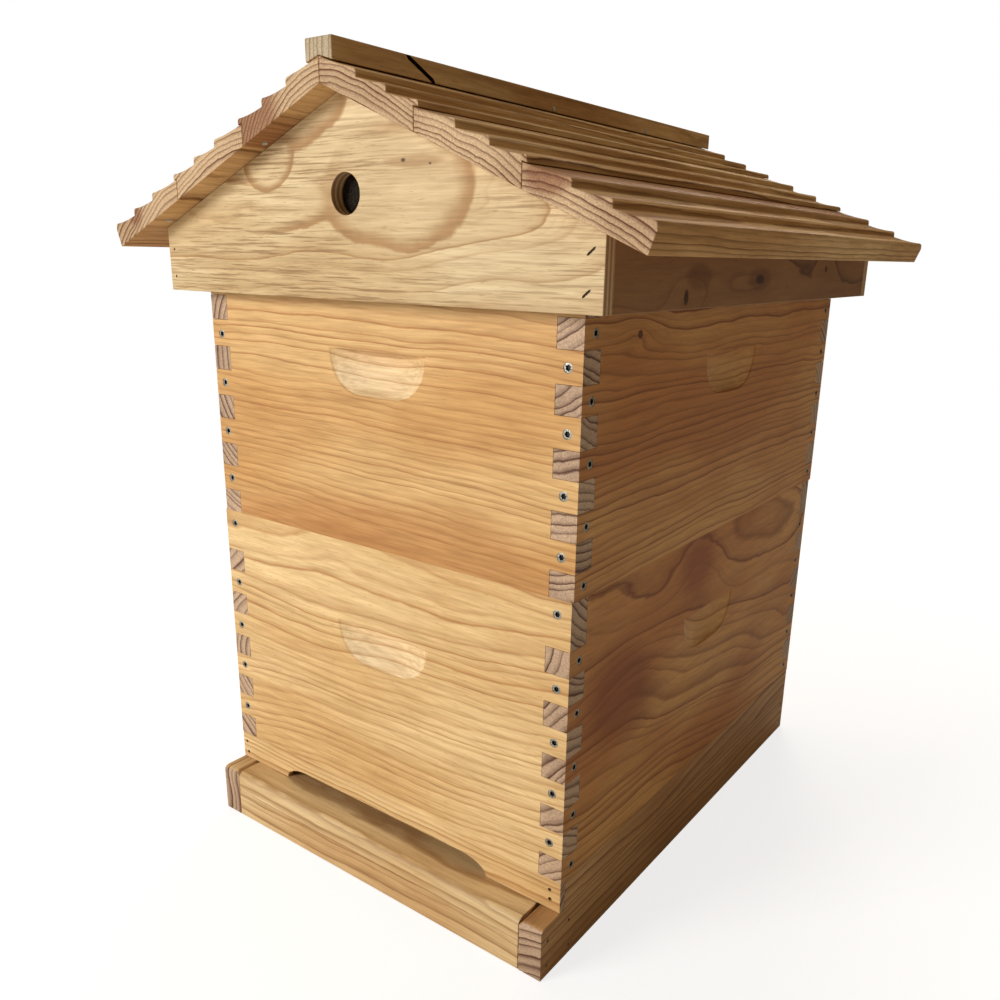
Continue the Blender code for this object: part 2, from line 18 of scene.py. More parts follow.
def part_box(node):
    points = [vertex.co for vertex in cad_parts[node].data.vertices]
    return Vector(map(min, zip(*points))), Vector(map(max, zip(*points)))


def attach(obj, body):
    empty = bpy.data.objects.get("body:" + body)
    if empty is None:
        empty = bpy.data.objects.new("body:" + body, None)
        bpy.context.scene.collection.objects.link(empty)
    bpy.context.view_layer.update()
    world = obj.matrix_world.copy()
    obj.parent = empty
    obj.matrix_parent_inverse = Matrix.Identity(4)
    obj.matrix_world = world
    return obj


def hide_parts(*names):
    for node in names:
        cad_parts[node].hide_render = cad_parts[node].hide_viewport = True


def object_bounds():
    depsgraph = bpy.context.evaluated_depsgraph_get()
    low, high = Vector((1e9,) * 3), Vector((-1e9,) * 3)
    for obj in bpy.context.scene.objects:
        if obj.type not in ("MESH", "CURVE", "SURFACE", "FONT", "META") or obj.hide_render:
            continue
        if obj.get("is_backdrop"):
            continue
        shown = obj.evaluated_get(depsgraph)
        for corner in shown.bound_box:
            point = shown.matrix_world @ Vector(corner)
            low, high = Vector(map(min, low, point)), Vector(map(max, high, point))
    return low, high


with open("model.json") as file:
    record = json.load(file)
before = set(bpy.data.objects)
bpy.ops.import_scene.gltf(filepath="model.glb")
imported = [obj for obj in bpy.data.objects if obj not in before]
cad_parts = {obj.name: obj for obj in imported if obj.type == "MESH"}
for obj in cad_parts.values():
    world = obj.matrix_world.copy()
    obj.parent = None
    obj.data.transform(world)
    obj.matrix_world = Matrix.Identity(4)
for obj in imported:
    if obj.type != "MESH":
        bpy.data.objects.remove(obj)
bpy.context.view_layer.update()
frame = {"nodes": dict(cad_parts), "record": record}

NODES = frame["nodes"]
BODY_OF = {
    node: body
    for body, nodes in frame["record"]["behaviour"]["bodies"].items()
    for node in nodes
}

# Heights and faces that the details are placed from
BROOD_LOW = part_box("brood_front")[0]
SUPER_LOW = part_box("super_front")[0]
GABLE_LOW, GABLE_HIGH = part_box("gable_front")
FRONT_Y = BROOD_LOW.y
REAR_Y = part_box("brood_rear")[1].y
GABLE_Y = GABLE_LOW.y
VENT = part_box("vent_mesh_front")
VENT_X = (VENT[0].x + VENT[1].x) / 2
VENT_Z = (VENT[0].z + VENT[1].z) / 2

EDGE_EASE = 0.0009
FRAME_EDGE_EASE = 0.0005
SHARP_ANGLE = math.radians(24)
FASTENER_SHARP_ANGLE = math.radians(35)
WELD = 0.000005
FLAT_ANGLE = math.radians(0.4)


# Shader helpers --------------------


def colour(red, green, blue):
    """A display colour out of 255, as the linear colour that a shader takes."""

    def linear(value):
        value /= 255
        return value / 12.92 if value <= 0.04045 else ((value + 0.055) / 1.055) ** 2.4

    return (linear(red), linear(green), linear(blue), 1.0)


def tones(**named):
    """A table of display colours out of 255, by name."""
    return {name: colour(*levels) for name, levels in named.items()}


class Shader:
    """A material's node tree, built one node at a time."""

    def __init__(self, name, roughness=0.5, metallic=0.0):
        self.material = bpy.data.materials.new(name)
        self.material.use_nodes = True
        self.tree = self.material.node_tree
        self.principled = self.tree.nodes["Principled BSDF"]
        self.principled.inputs["Roughness"].default_value = roughness
        self.principled.inputs["Metallic"].default_value = metallic

    def node(self, kind, **settings):
        made = self.tree.nodes.new(kind)
        for key, value in settings.items():
            setattr(made, key, value)
        return made

    def put(self, socket, value):
        if isinstance(value, bpy.types.NodeSocket):
            self.tree.links.new(value, socket)
        else:
            socket.default_value = value

    def math(self, operation, *values, clamp=False):
        made = self.node("ShaderNodeMath", operation=operation, use_clamp=clamp)
        for socket, value in zip(made.inputs, values):
            self.put(socket, value)
        return made.outputs[0]

    def total(self, *values):
        result = values[0]
        for value in values[1:]:
            result = self.math("ADD", result, value)
        return result

    def product(self, *values):
        result = values[0]
        for value in values[1:]:
            result = self.math("MULTIPLY", result, value)
        return result

    def less(self, value, taken):
        return self.math("SUBTRACT", value, taken)

    def size(self, value):
        return self.math("ABSOLUTE", value)

    def root(self, value):
        return self.math("SQRT", value)

    def centred(self, noise, amount):
        """A noise as a swing of this amount about nothing."""
        return self.math("MULTIPLY_ADD", noise, amount, -amount / 2)

    def vector(self, x, y, z):
        made = self.node("ShaderNodeCombineXYZ")
        for socket, value in zip(made.inputs, (x, y, z)):
            self.put(socket, value)
        return made.outputs[0]

    def scaled(self, place, rate):
        return self.vector(*[self.product(value, rate) for value in place])

    def split(self, vector):
        made = self.node("ShaderNodeSeparateXYZ")
        self.put(made.inputs[0], vector)
        return list(made.outputs)

    def noise(self, vector, seed, detail=2.0, roughness=0.5):
        made = self.node("ShaderNodeTexNoise", noise_dimensions="4D")
        self.put(made.inputs["Vector"], vector)
        self.put(made.inputs["W"], seed)
        self.put(made.inputs["Scale"], 1.0)
        self.put(made.inputs["Detail"], detail)
        self.put(made.inputs["Roughness"], roughness)
        return made.outputs["Fac"]

    def step(self, value, start, end, low=0.0, high=1.0):
        """Rises smoothly from low to high as value goes from start to end."""
        made = self.node("ShaderNodeMapRange", interpolation_type="SMOOTHSTEP")
        for socket, amount in zip(made.inputs, (value, start, end, low, high)):
            self.put(socket, amount)
        return made.outputs[0]

    def ramp(self, value, stops):
        made = self.node("ShaderNodeValToRGB")
        elements = made.color_ramp.elements
        while len(elements) < len(stops):
            elements.new(0.5)
        for element, (position, level) in zip(elements, stops):
            element.position = position
            element.color = (level, level, level, 1.0)
        self.put(made.inputs[0], value)
        return made.outputs[0]

    def mix(self, factor, first, second, blend="MIX"):
        made = self.node("ShaderNodeMix", data_type="RGBA", blend_type=blend)
        self.put(made.inputs[0], factor)
        self.put(made.inputs[6], first)
        self.put(made.inputs[7], second)
        return made.outputs[2]

    def bump(self, height, strength, distance):
        made = self.node("ShaderNodeBump")
        self.put(made.inputs["Height"], height)
        self.put(made.inputs["Strength"], strength)
        self.put(made.inputs["Distance"], distance)
        self.put(self.principled.inputs["Normal"], made.outputs[0])

    def finish(self, base, roughness):
        self.put(self.principled.inputs["Base Color"], base)
        self.put(self.principled.inputs["Roughness"], roughness)
        return self.material

    def base_colour(self):
        """The socket that feeds the base colour now."""
        return self.principled.inputs["Base Color"].links[0].from_socket

    def recolour(self, factor, first, second):
        self.put(self.principled.inputs["Base Color"], self.mix(factor, first, second))


# Wood --------------------

# How dark a growth ring is from its start to its end: pale early wood, then a dark
# band of late wood that stops sharply.
RING_PROFILE = ((0.0, 0.10), (0.20, 0.03), (0.50, 0.14), (0.74, 0.48), (0.88, 1.0), (1.0, 0.22))
VENEER_PROFILE = ((0.0, 0.10), (0.12, 0.02), (0.55, 0.06), (0.82, 0.55), (0.93, 1.0), (1.0, 0.15))

PINE = {
    **tones(
        early=(228, 188, 128), late=(178, 119, 62), heart=(213, 163, 100), end_early=(210, 178, 148),
        end_late=(96, 58, 40), bare=(242, 216, 172), bare_late=(206, 164, 112), stain=(150, 78, 38),
        knot=(84, 48, 26),
    ),
    "freshness": 0.85,
}
# What a board has unless its own entry says otherwise
PLAIN_BOARD = {
    "tone": {}, "profile": RING_PROFILE, "ring": 0.0055, "swing": 0.030, "ripple": 0.0045,
    "lean": (0.0, 0.0), "fibre": 0.62, "flecks": 0.35, "hatch": 0.0, "gloss": 0.35, "rough": 0.45,
    "calm": None, "swirls": (), "knots": (), "halos": (), "stains": (), "bare": (),
}
# The axes along the grain, across it and up
GRAINS = {"X": (0, 1, 2), "Y": (1, 0, 2)}

# Noises drawn out along the grain: features to a metre along it and across it, a shift
# of the board's seed, and the noise's own detail and roughness.
SWING = (3.2, 9.0, 0.0, 1.0, 0.5)
RIPPLE = (13.0, 42.0, 3.1, 2.0, 0.5)
WOBBLE = (60.0, 190.0, 6.1, 2.0, 0.5)
FIBRES = (24.0, 560.0, 0.0, 3.0, 0.65)
STREAKS = (8.0, 130.0, 7.7, 2.0, 0.5)
THREADS = (30.0, 300.0, 9.4, 1.0, 0.5)
CLOUDS = (4.0, 11.0, 1.3, 2.0, 0.5)
FLECKS = (95.0, 900.0, 5.0, 1.0, 0.5)
DASHES = (22.0, 640.0, 11.0, 3.0, 0.6)
DASH_PATCHES = (5.0, 14.0, 13.0, 2.0, 0.5)
PORES = (300.0, 800.0, 2.0, 2.0, 0.5)

# Rings: the smallest wobble in metres, how unevenly they are spaced, the range and floor
# of their chance darkness, the finer rings inside them, and the calm patch of a veneer
WOBBLE_SIZE = 0.0012
SPREAD_RATE = 55.0
RING_SPREAD = 2.6
RING_DARKNESS = (0.72, 0.34)
FINE_RINGS = 3.0
FINE_RING_SHARE = 0.13
CALM_EDGE = (0.75, 1.15)
CALM_SHARE = 0.08

# Knots: how many of their radii the rings bend over, further along the grain, and how far
# they bend in metres; then the knot's own rings and its ragged edge
KNOT_REACH = 3.0
KNOT_STRETCH = 2.4
KNOT_BEND = 0.010
KNOT_RINGS = 13.0
KNOT_RING_DARKNESS = (0.22, 0.25)
KNOT_WANDER = 0.8
KNOT_EDGE = (0.55, 1.05)

# Halos, measured in radii of their patches: how softly the patches join, two noises
# (features to a metre, shift of the seed, detail and amount), and the dark rim
FAR_AWAY = 9.0
PATCH_JOIN = 0.25
HALO_SEED_RATE = 20.0
HALO_NOISES = ((20.0, 0.0, 0.0, 0.46), (85.0, 4.0, 3.0, 0.13))
RIM_START = (0.70, 0.97)
RIM_END = (0.98, 1.05)
RIM_DARKNESS = (0.80, 0.14)

# Faces: where clouds turn to heartwood, stains, and how the fibres shade the colour, with
# the powers of the shade for red and blue that keep dark fibres warm
HEART_RANGE = (0.36, 0.66)
STAIN_WANDER = 1.6
STAIN_EDGE = (0.55, 1.1)
STAIN_SHARE = 0.62
STREAK_SHARE = 0.65
THREAD_SHARE = 0.58
RED_POWER = 0.80
BLUE_POWER = 1.30
FLECK_RANGE = (0.64, 0.74)
DASH_RANGE = (0.49, 0.62)
DASH_PATCH_RANGE = (0.36, 0.62)
DASH_FLOOR = 0.15

# Freshly cut wood: the softness of its edge in metres, and the fade at its top that is painted shade
# under the grip's ledge
BARE_EDGE = 0.0004
BARE_SHADE_FADE = 0.55
BARE_SHADED_TOP_SHARE = 0.15

# End grain: shares of the rings and clouds in its darkness, its pores, and how squarely
# a face must look along the grain
END_LATE_SHARE = 0.75
END_PROFILE_SHARE = 0.42
END_CLOUD_RANGE = (0.40, 0.70)
END_CLOUD_LEVELS = (-0.06, 0.28)
PORE_RANGE = (0.25, 0.75)
PORE_LEVELS = (0.72, 1.14)
END_FACING = (0.55, 0.80)

# Relief and roughness that the fibres give
FIBRE_RELIEF = 0.6
RING_RELIEF = 0.5
WOOD_BUMP = (0.35, 0.0003)
FIBRE_ROUGHNESS = 0.22


class Pine(Shader):
    """Solid pine, coloured by growth rings round a pith line that runs along the grain."""

    def __init__(self, name, board):
        super().__init__(name)
        self.board = {**PLAIN_BOARD, **board}
        self.tone = {**PINE, **self.board["tone"]}
        coordinates = self.node("ShaderNodeTexCoord")
        self.place = self.split(coordinates.outputs["Object"])
        self.normal = self.split(coordinates.outputs["Normal"])
        self.order = GRAINS[self.board["grain"]]
        self.along, self.side, self.up = (self.place[i] for i in self.order)
        self.fibre = self.stretched(FIBRES)
        self.cloud = self.stretched(CLOUDS)
        self.stained = self.stains()
        self.shade = self.warm_shade()
        late, profile = self.rings()
        facing_end = self.step(self.size(self.normal[self.order[0]]), *END_FACING)
        base = self.mix(facing_end, self.face(late), self.end_grain(late, profile))
        height = self.total(
            self.product(self.fibre, FIBRE_RELIEF), self.product(late, RING_RELIEF)
        )
        self.bump(height, *WOOD_BUMP)
        self.principled.inputs["Specular IOR Level"].default_value = self.board["gloss"]
        rough = self.math("MULTIPLY_ADD", self.fibre, FIBRE_ROUGHNESS, self.board["rough"])
        self.finish(self.with_knots(base), rough)

    def stretched(self, pattern):
        """Noise drawn out along the grain."""
        along_rate, across_rate, shift, detail, roughness = pattern
        spot = self.vector(
            self.product(self.along, along_rate),
            self.product(self.side, across_rate),
            self.product(self.up, across_rate),
        )
        return self.noise(spot, self.board["seed"] + shift, detail, roughness)

    def reach(self, centre, size):
        """The distance from a centre, squared, in shares of an ellipsoid's radii."""
        shares = [
            self.math("DIVIDE", self.less(self.place[i], centre[i]), size[i])
            for i in range(3)
        ]
        return self.total(*[self.product(share, share) for share in shares])

    def hump(self, centre, size, height):
        """A smooth rise that is highest at the centre."""
        fall = self.product(self.reach(centre, size), -1.0)
        return self.product(self.math("POWER", math.e, fall), height)

    def ragged(self, reach, noise, amount):
        """A distance whose outline wanders with a noise."""
        return self.math("MULTIPLY_ADD", noise, amount, self.less(reach, amount / 2))

    def halo(self, patches, seen):
        """The figure round a group of patches of veneer: sharp outside and fading inwards.

        seen holds a direction and the two distances along it between which the figure appears.
        """
        seed = self.board["seed"] + HALO_SEED_RATE * patches[0][0][0]
        reach = FAR_AWAY
        for centre, size in patches:
            one = self.root(self.reach(centre, size))
            reach = self.math("SMOOTH_MIN", one, reach, PATCH_JOIN)
        for rate, shift, detail, amount in HALO_NOISES:
            noise = self.noise(self.scaled(self.place, rate), seed + shift, detail)
            reach = self.total(reach, self.centred(noise, amount))
        inner = self.step(reach, *RIM_START)
        outer = self.step(reach, *RIM_END, 1.0, 0.0)
        line = self.math("MULTIPLY_ADD", inner, *RIM_DARKNESS)
        direction, start, end = seen
        along = self.total(*[self.product(self.place[i], direction[i]) for i in range(3)])
        shown = self.product(outer, self.step(along, start, end))
        return self.product(line, shown)

    def pith_distance(self):
        """How far each point is from the pith, with the wander that bends the rings."""
        offsets = []
        for place, pith, lean in zip((self.side, self.up), self.board["pith"], self.board["lean"]):
            leaning = self.product(self.along, lean)
            offsets.append(self.total(self.less(place, pith), leaning))
        squares = self.total(*[self.product(offset, offset) for offset in offsets])
        radius = self.root(squares)
        sizes = (self.board["swing"], self.board["ripple"], WOBBLE_SIZE)
        for pattern, size in zip((SWING, RIPPLE, WOBBLE), sizes):
            wander = self.less(self.stretched(pattern), 0.5)
            radius = self.total(radius, self.product(wander, size))
        for swirl in self.board["swirls"]:
            radius = self.total(radius, self.hump(*swirl))
        for centre, size in self.board["knots"]:
            around = [KNOT_REACH * value for value in size]
            around[self.order[0]] *= KNOT_STRETCH
            radius = self.total(radius, self.hump(centre, around, KNOT_BEND))
        return radius

    def rings(self):
        """How much dark late wood each point has, and the plain profile of its ring."""
        radius = self.pith_distance()
        seed = self.board["seed"]
        spot = self.vector(self.product(radius, SPREAD_RATE), seed, 0.0)
        number = self.total(
            self.math("DIVIDE", radius, self.board["ring"]),
            self.product(self.noise(spot, seed, 1.0), RING_SPREAD),
        )
        each = self.node("ShaderNodeTexWhiteNoise", noise_dimensions="1D")
        self.put(each.inputs["W"], self.math("FLOOR", number))
        strength = self.math("MULTIPLY_ADD", each.outputs["Value"], *RING_DARKNESS)
        profile = self.ramp(self.math("FRACT", number), self.board["profile"])
        late = self.product(profile, strength)
        finer = self.ramp(self.math("FRACT", self.product(number, FINE_RINGS)), RING_PROFILE)
        late = self.math("MULTIPLY_ADD", finer, FINE_RING_SHARE, late, clamp=True)
        if self.board["calm"]:
            away = self.root(self.reach(*self.board["calm"]))
            late = self.product(late, self.step(away, *CALM_EDGE, CALM_SHARE, 1.0))
        for patches, seen in self.board["halos"]:
            late = self.math("MAXIMUM", late, self.halo(patches, seen))
        return late, profile

    def stains(self):
        """How strong each stained patch is."""
        found = []
        for centre, size in self.board["stains"]:
            reach = self.root(self.reach(centre, size))
            patch = self.ragged(reach, self.cloud, STAIN_WANDER)
            found.append(self.step(patch, *STAIN_EDGE, STAIN_SHARE, 0.0))
        return found

    def with_stains(self, ground):
        for patch in self.stained:
            ground = self.mix(patch, ground, self.tone["stain"])
        return ground

    def warm_shade(self):
        """How light the fibres make the wood, as a colour that is warmer where it is darker."""
        grain = self.board["fibre"]
        shade = self.total(
            self.centred(self.fibre, grain),
            self.centred(self.stretched(STREAKS), grain * STREAK_SHARE),
            self.centred(self.stretched(THREADS), grain * THREAD_SHARE),
            1.0,
        )
        red = self.math("POWER", shade, RED_POWER)
        blue = self.math("POWER", shade, BLUE_POWER)
        return self.vector(red, shade, blue)

    def face(self, late):
        """The colour of a face that runs along the grain."""
        heart = self.step(self.cloud, *HEART_RANGE)
        ground = self.with_stains(self.mix(heart, self.tone["early"], self.tone["heart"]))
        face = self.mix(late, ground, self.tone["late"])
        face = self.mix(1.0, face, self.shade, "MULTIPLY")
        if self.board["hatch"]:
            dashes = self.step(self.stretched(DASHES), *DASH_RANGE, 0.0, self.board["hatch"])
            patchy = self.step(self.stretched(DASH_PATCHES), *DASH_PATCH_RANGE, DASH_FLOOR, 1.0)
            face = self.mix(self.product(dashes, patchy), face, self.tone["hatch"])
        flecks = self.step(self.stretched(FLECKS), *FLECK_RANGE, 0.0, self.board["flecks"])
        face = self.mix(flecks, face, self.tone["late"])
        for low, high in self.board["bare"]:
            face = self.mix(self.routed(low, high), face, self.fresh(late))
        return face

    def fresh(self, late):
        """The paler colour of wood that a cutter has just laid bare."""
        fresh = self.mix(late, self.tone["bare"], self.tone["bare_late"])
        return self.mix(1.0, fresh, self.shade, "MULTIPLY")

    def routed(self, low, high):
        """A mask of the box between two corners, weaker towards its top as painted shade under the
        ledge.
        """
        masks = []
        for place, start, end in zip(self.place, low, high):
            masks.append(self.step(place, start - BARE_EDGE, start + BARE_EDGE))
            masks.append(self.step(place, end - BARE_EDGE, end + BARE_EDGE, 1.0, 0.0))
        # The fresh colour weakens towards the grip's top: painted shade under its ledge
        drop = (high[2] - low[2]) * BARE_SHADE_FADE
        freshness = (BARE_SHADED_TOP_SHARE, self.tone["freshness"])
        masks.append(self.step(self.place[2], high[2], high[2] - drop, *freshness))
        return self.product(*masks)

    def end_grain(self, late, profile):
        """The colour of a face that is cut across the grain."""
        dense = self.total(
            self.product(late, END_LATE_SHARE),
            self.product(profile, END_PROFILE_SHARE),
            self.step(self.cloud, *END_CLOUD_RANGE, *END_CLOUD_LEVELS),
        )
        dense = self.math("MINIMUM", self.math("MAXIMUM", dense, 0.0), 1.0)
        end = self.mix(dense, self.with_stains(self.tone["end_early"]), self.tone["end_late"])
        pores = self.step(self.stretched(PORES), *PORE_RANGE, *PORE_LEVELS)
        return self.mix(1.0, end, self.vector(pores, pores, pores), "MULTIPLY")

    def with_knots(self, base):
        for centre, size in self.board["knots"]:
            squares = self.reach(centre, size)
            growth = self.math("SINE", self.product(self.root(squares), KNOT_RINGS))
            dark = self.math("MULTIPLY_ADD", growth, *KNOT_RING_DARKNESS, clamp=True)
            ringed = self.mix(dark, self.tone["knot"], self.tone["late"])
            edge = self.ragged(squares, self.fibre, KNOT_WANDER)
            base = self.mix(self.step(edge, *KNOT_EDGE, 1.0, 0.0), base, ringed)
        return base


# Plywood edges: half its number of plies, and the bands within each pair
PLY_PAIRS = 2.5
CROSSED_PLY = (0.22, 0.27)
GLUE_LINE = (0.03, 0.05)
PLY_SPECKS = 420.0
PLY_PURITY = 0.65
PLY_FACING = (0.45, 0.70)


def plywood(name, board):
    """Veneered board: broad soft figure on its faces, and its plies on its edges."""
    shader = Pine(name, board)
    pale, dark = board["edge_light"], board["edge_dark"]
    axis, start, thickness = board["plies"]
    depth = shader.math("DIVIDE", shader.less(shader.place[axis], start), thickness)
    layer = shader.math("FRACT", shader.product(depth, PLY_PAIRS))
    speck = shader.noise(shader.scaled(shader.place, PLY_SPECKS), 3.0, 2.0)

    def band(middle, edges):
        return shader.step(shader.size(shader.less(layer, middle)), *edges)

    def speckled(main, other):
        return shader.mix(PLY_PURITY, shader.mix(speck, main, other), main)

    edge = shader.mix(band(0.5, CROSSED_PLY), speckled(dark, pale), speckled(pale, dark))
    edge = shader.mix(band(0.25, GLUE_LINE), dark, edge)
    on_face = shader.step(shader.size(shader.normal[axis]), *PLY_FACING)
    shader.recolour(on_face, edge, shader.base_colour())
    return shader.material


# Boards --------------------


def new_mesh_object(name, build):
    mesh = bpy.data.meshes.new(name)
    shape = bmesh.new()
    build(shape)
    shape.to_mesh(mesh)
    shape.free()
    made = bpy.data.objects.new(name, mesh)
    bpy.context.scene.collection.objects.link(made)
    return made


def copy_node(shape, node):
    """The CAD node's surface, sewn together, with its flat faces made whole."""
    shape.from_mesh(NODES[node].data)
    bmesh.ops.remove_doubles(shape, verts=shape.verts, dist=WELD)
    bmesh.ops.dissolve_limit(shape, angle_limit=FLAT_ANGLE, verts=shape.verts, edges=shape.edges)


def stand_for(made, node):
    """Puts a piece in a node's place: on its body, with the node hidden."""
    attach(made, BODY_OF[node])
    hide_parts(node)


def finished_board(node, material, ease=EDGE_EASE):
    """A board that stands for its CAD node, with softened edges and the given material."""
    made = new_mesh_object(node + "_board", lambda shape: copy_node(shape, node))
    for attribute in ("custom_normal", "sharp_face"):
        if attribute in made.data.attributes:
            made.data.attributes.remove(made.data.attributes[attribute])
    made.data.shade_smooth()
    made.data.set_sharp_from_angle(angle=SHARP_ANGLE)
    made.data.materials.clear()
    made.data.materials.append(material)
    bevel = made.modifiers.new("eased edges", "BEVEL")
    bevel.width = ease
    bevel.segments = 2
    bevel.limit_method = "ANGLE"
    bevel.angle_limit = SHARP_ANGLE
    bevel.harden_normals = True
    stand_for(made, node)
    return made


def join_pieces(shape, build_one, placements):
    """Adds one copy of a small piece for each placement matrix."""
    for matrix in placements:
        before = set(shape.verts)
        build_one(shape)
        fresh = [vert for vert in shape.verts if vert not in before]
        bmesh.ops.transform(shape, matrix=matrix, verts=fresh)


def facing(place, outward, turn=0.0):
    """A placement whose +Z points outward."""
    tilt = Vector(outward).to_track_quat("Z", "Y").to_matrix().to_4x4()
    return Matrix.Translation(Vector(place)) @ tilt @ Matrix.Rotation(turn, 4, "Z")


def cut_pits(board, name, build_one, placements, body, lining=None):
    """Sinks a pit into the board at each placement, with a lining of its own if one is given, such as
    the near-black painted shade in the cap's crack.
    """
    tool = new_mesh_object(name, lambda shape: join_pieces(shape, build_one, placements))
    tool.hide_render = True
    tool.display_type = "WIRE"
    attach(tool, body)
    pits = board.modifiers.new(name, "BOOLEAN")
    pits.object = tool
    pits.solver = "EXACT"
    if lining is not None:
        tool.data.materials.append(lining)
        pits.material_mode = "TRANSFER"


# Fasteners --------------------

SCREW_RADIUS = 0.0038
SCREW_PIT = 0.0041
SCREW_DEPTH = 0.0034
# A screw head from its foot up its outside and down into its recess: share of the radius,
# height over the board's face, and depth of the six lobes as a share
SCREW_OUTLINE = (
    (0.80, -0.00300, 0.0),
    (1.00, -0.00065, 0.0),
    (0.97, -0.00035, 0.0),
    (0.90, -0.00025, 0.0),
    (0.56, -0.00035, 0.14),
    (0.52, -0.00065, 0.16),
    (0.44, -0.00185, 0.16),
)
RECESS_STARTS = 4
ROUND_STEPS = 24
LOBES = 6

BRAD_RADIUS = 0.0013
BRAD_PIT = 0.0019
RAIL_NAIL_PIT = 0.0018
GABLE_BRAD_PIT = 0.0012
BRAD_DEPTH = 0.0026
PIT_STEPS = 20
PIT_TAPER = (0.82, 1.06)


def loop_of(shape, points):
    return [shape.verts.new(point) for point in points]


def bridge(shape, lower, upper, material=0):
    """Joins two loops of as many points with a band of faces."""
    count = len(lower)
    for i in range(count):
        j = (i + 1) % count
        shape.faces.new((lower[i], lower[j], upper[j], upper[i])).material_index = material


def ring_points(radius, height, lobes):
    points = []
    for i in range(ROUND_STEPS):
        turn = 2 * math.pi * i / ROUND_STEPS
        reach = radius * (1 + lobes * math.cos(LOBES * turn))
        points.append((reach * math.cos(turn), reach * math.sin(turn), height))
    return points


def build_screw(shape):
    """A countersunk screw head with a six-lobed recess, whose faces take the second material as painted
    shade.
    """
    made = [
        loop_of(shape, ring_points(SCREW_RADIUS * share, height, lobes))
        for share, height, lobes in SCREW_OUTLINE
    ]
    for index, (lower, upper) in enumerate(zip(made, made[1:])):
        bridge(shape, lower, upper, material=1 if index >= RECESS_STARTS else 0)
    shape.faces.new(made[-1]).material_index = 1
    shape.faces.new(list(reversed(made[0])))


def build_cone(radius, depth):
    """A shallow pit cutter that opens outwards."""

    def build(shape):
        bmesh.ops.create_cone(
            shape,
            cap_ends=True,
            segments=PIT_STEPS,
            radius1=radius * PIT_TAPER[0],
            radius2=radius * PIT_TAPER[1],
            depth=2 * depth,
        )

    return build


def build_head(lower_radius, upper_radius, thickness, height, steps):
    """A round nail head, with its middle at this height over the board's face."""

    def build(shape):
        made = bmesh.ops.create_cone(
            shape, cap_ends=True, segments=steps, radius1=lower_radius, radius2=upper_radius,
            depth=thickness,
        )
        bmesh.ops.translate(shape, vec=(0.0, 0.0, height), verts=made["verts"])

    return build


def build_bar(length, width, height, depth):
    """A bar with pointed ends, as deep in the wood as is asked."""

    def build(shape):
        outline = (
            (-length / 2, 0.0),
            (-length / 2 + width, -width / 2),
            (length / 2 - width, -width / 2),
            (length / 2, 0.0),
            (length / 2 - width, width / 2),
            (-length / 2 + width, width / 2),
        )
        lower = loop_of(shape, [(x, y, -depth - height / 2) for x, y in outline])
        upper = loop_of(shape, [(x, y, -depth + height / 2) for x, y in outline])
        bridge(shape, lower, upper)
        shape.faces.new(upper)
        shape.faces.new(list(reversed(lower)))

    return build


SUNK_HEAD = build_head(BRAD_RADIUS, BRAD_RADIUS, 0.0014, -0.0026, 12)
PROUD_HEAD = build_head(0.0024, 0.0021, 0.0012, 0.0002, 16)
STAPLE = build_bar(0.0070, 0.0010, 0.0009, 0.0016)
STAPLE_SLOT = build_bar(0.0090, 0.0018, 0.0050, 0.0)
CRACK = build_bar(0.0370, 0.0034, 0.0200, 0.0)


# Each board takes its screws in its own fingers, at these heights over its lower edge.
END_SCREW_HEIGHTS = (0.0335, 0.0790, 0.1243, 0.1697, 0.2309)
SIDE_SCREW_HEIGHTS = (0.0108, 0.0562, 0.1016, 0.1470, 0.1924)
END_SCREW_INSET = 0.0118
SIDE_SCREW_INSET = 0.0140
SCREW_JITTER = 0.0011


def screw_placements(prefix, chance):
    """For each board of a box: where its screws go."""
    low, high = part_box(prefix + "_front")
    rear_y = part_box(prefix + "_rear")[1].y
    side_low, side_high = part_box(prefix + "_right")
    left_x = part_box(prefix + "_left")[0].x
    rows = {prefix + "_" + name: [] for name in ("front", "rear", "left", "right")}

    def jitter():
        return chance.uniform(-SCREW_JITTER, SCREW_JITTER)

    def place(board, spot, outward):
        rows[prefix + "_" + board].append(facing(spot, outward, chance.uniform(0, math.pi)))

    for height in END_SCREW_HEIGHTS:
        for edge in (low.x + END_SCREW_INSET, high.x - END_SCREW_INSET):
            spot = (edge + jitter(), low.y, low.z + height + jitter())
            place("front", spot, (0, -1, 0))
            spot = (edge + jitter(), rear_y, low.z + height + jitter())
            place("rear", spot, (0, 1, 0))
    for height in SIDE_SCREW_HEIGHTS:
        for edge in (side_low.y + SIDE_SCREW_INSET, side_high.y - SIDE_SCREW_INSET):
            spot = (side_high.x, edge + jitter(), low.z + height + jitter())
            place("right", spot, (1, 0, 0))
            spot = (left_x, edge + jitter(), low.z + height + jitter())
            place("left", spot, (-1, 0, 0))
    return rows


# Metals: their two colours, their specks to a metre with the seed and detail of the noise,
# where the specks turn from one colour to the other, and the range of their roughness
ZINC = ((186, 186, 178), (112, 112, 106), (900.0, 1.0, 3.0), (0.35, 0.7), (0.3, 0.8, 0.40, 0.6))
ZINC_BUMP = (0.25, 0.00008)
STEEL = ((70, 62, 56), (140, 130, 118), (1400.0, 4.0, 2.0), None, (0.3, 0.7, 0.35, 0.6))


def metal(name, kind, brightness, metallic, relief=None):
    """Speckled metal of a kind, made brighter or darker."""
    first, second, (rate, seed, detail), turn, roughness = kind
    shader = Shader(name, metallic=metallic)
    place = shader.split(shader.node("ShaderNodeTexCoord").outputs["Object"])
    speck = shader.noise(shader.scaled(place, rate), seed, detail)
    share = shader.step(speck, *turn) if turn else speck
    base = shader.mix(share, colour(*first), colour(*second))
    dim = (brightness, brightness, brightness, 1.0)
    if relief:
        shader.bump(speck, *relief)
    return shader.finish(shader.mix(1.0, base, dim, "MULTIPLY"), shader.step(speck, *roughness))


# Materials for each board --------------------

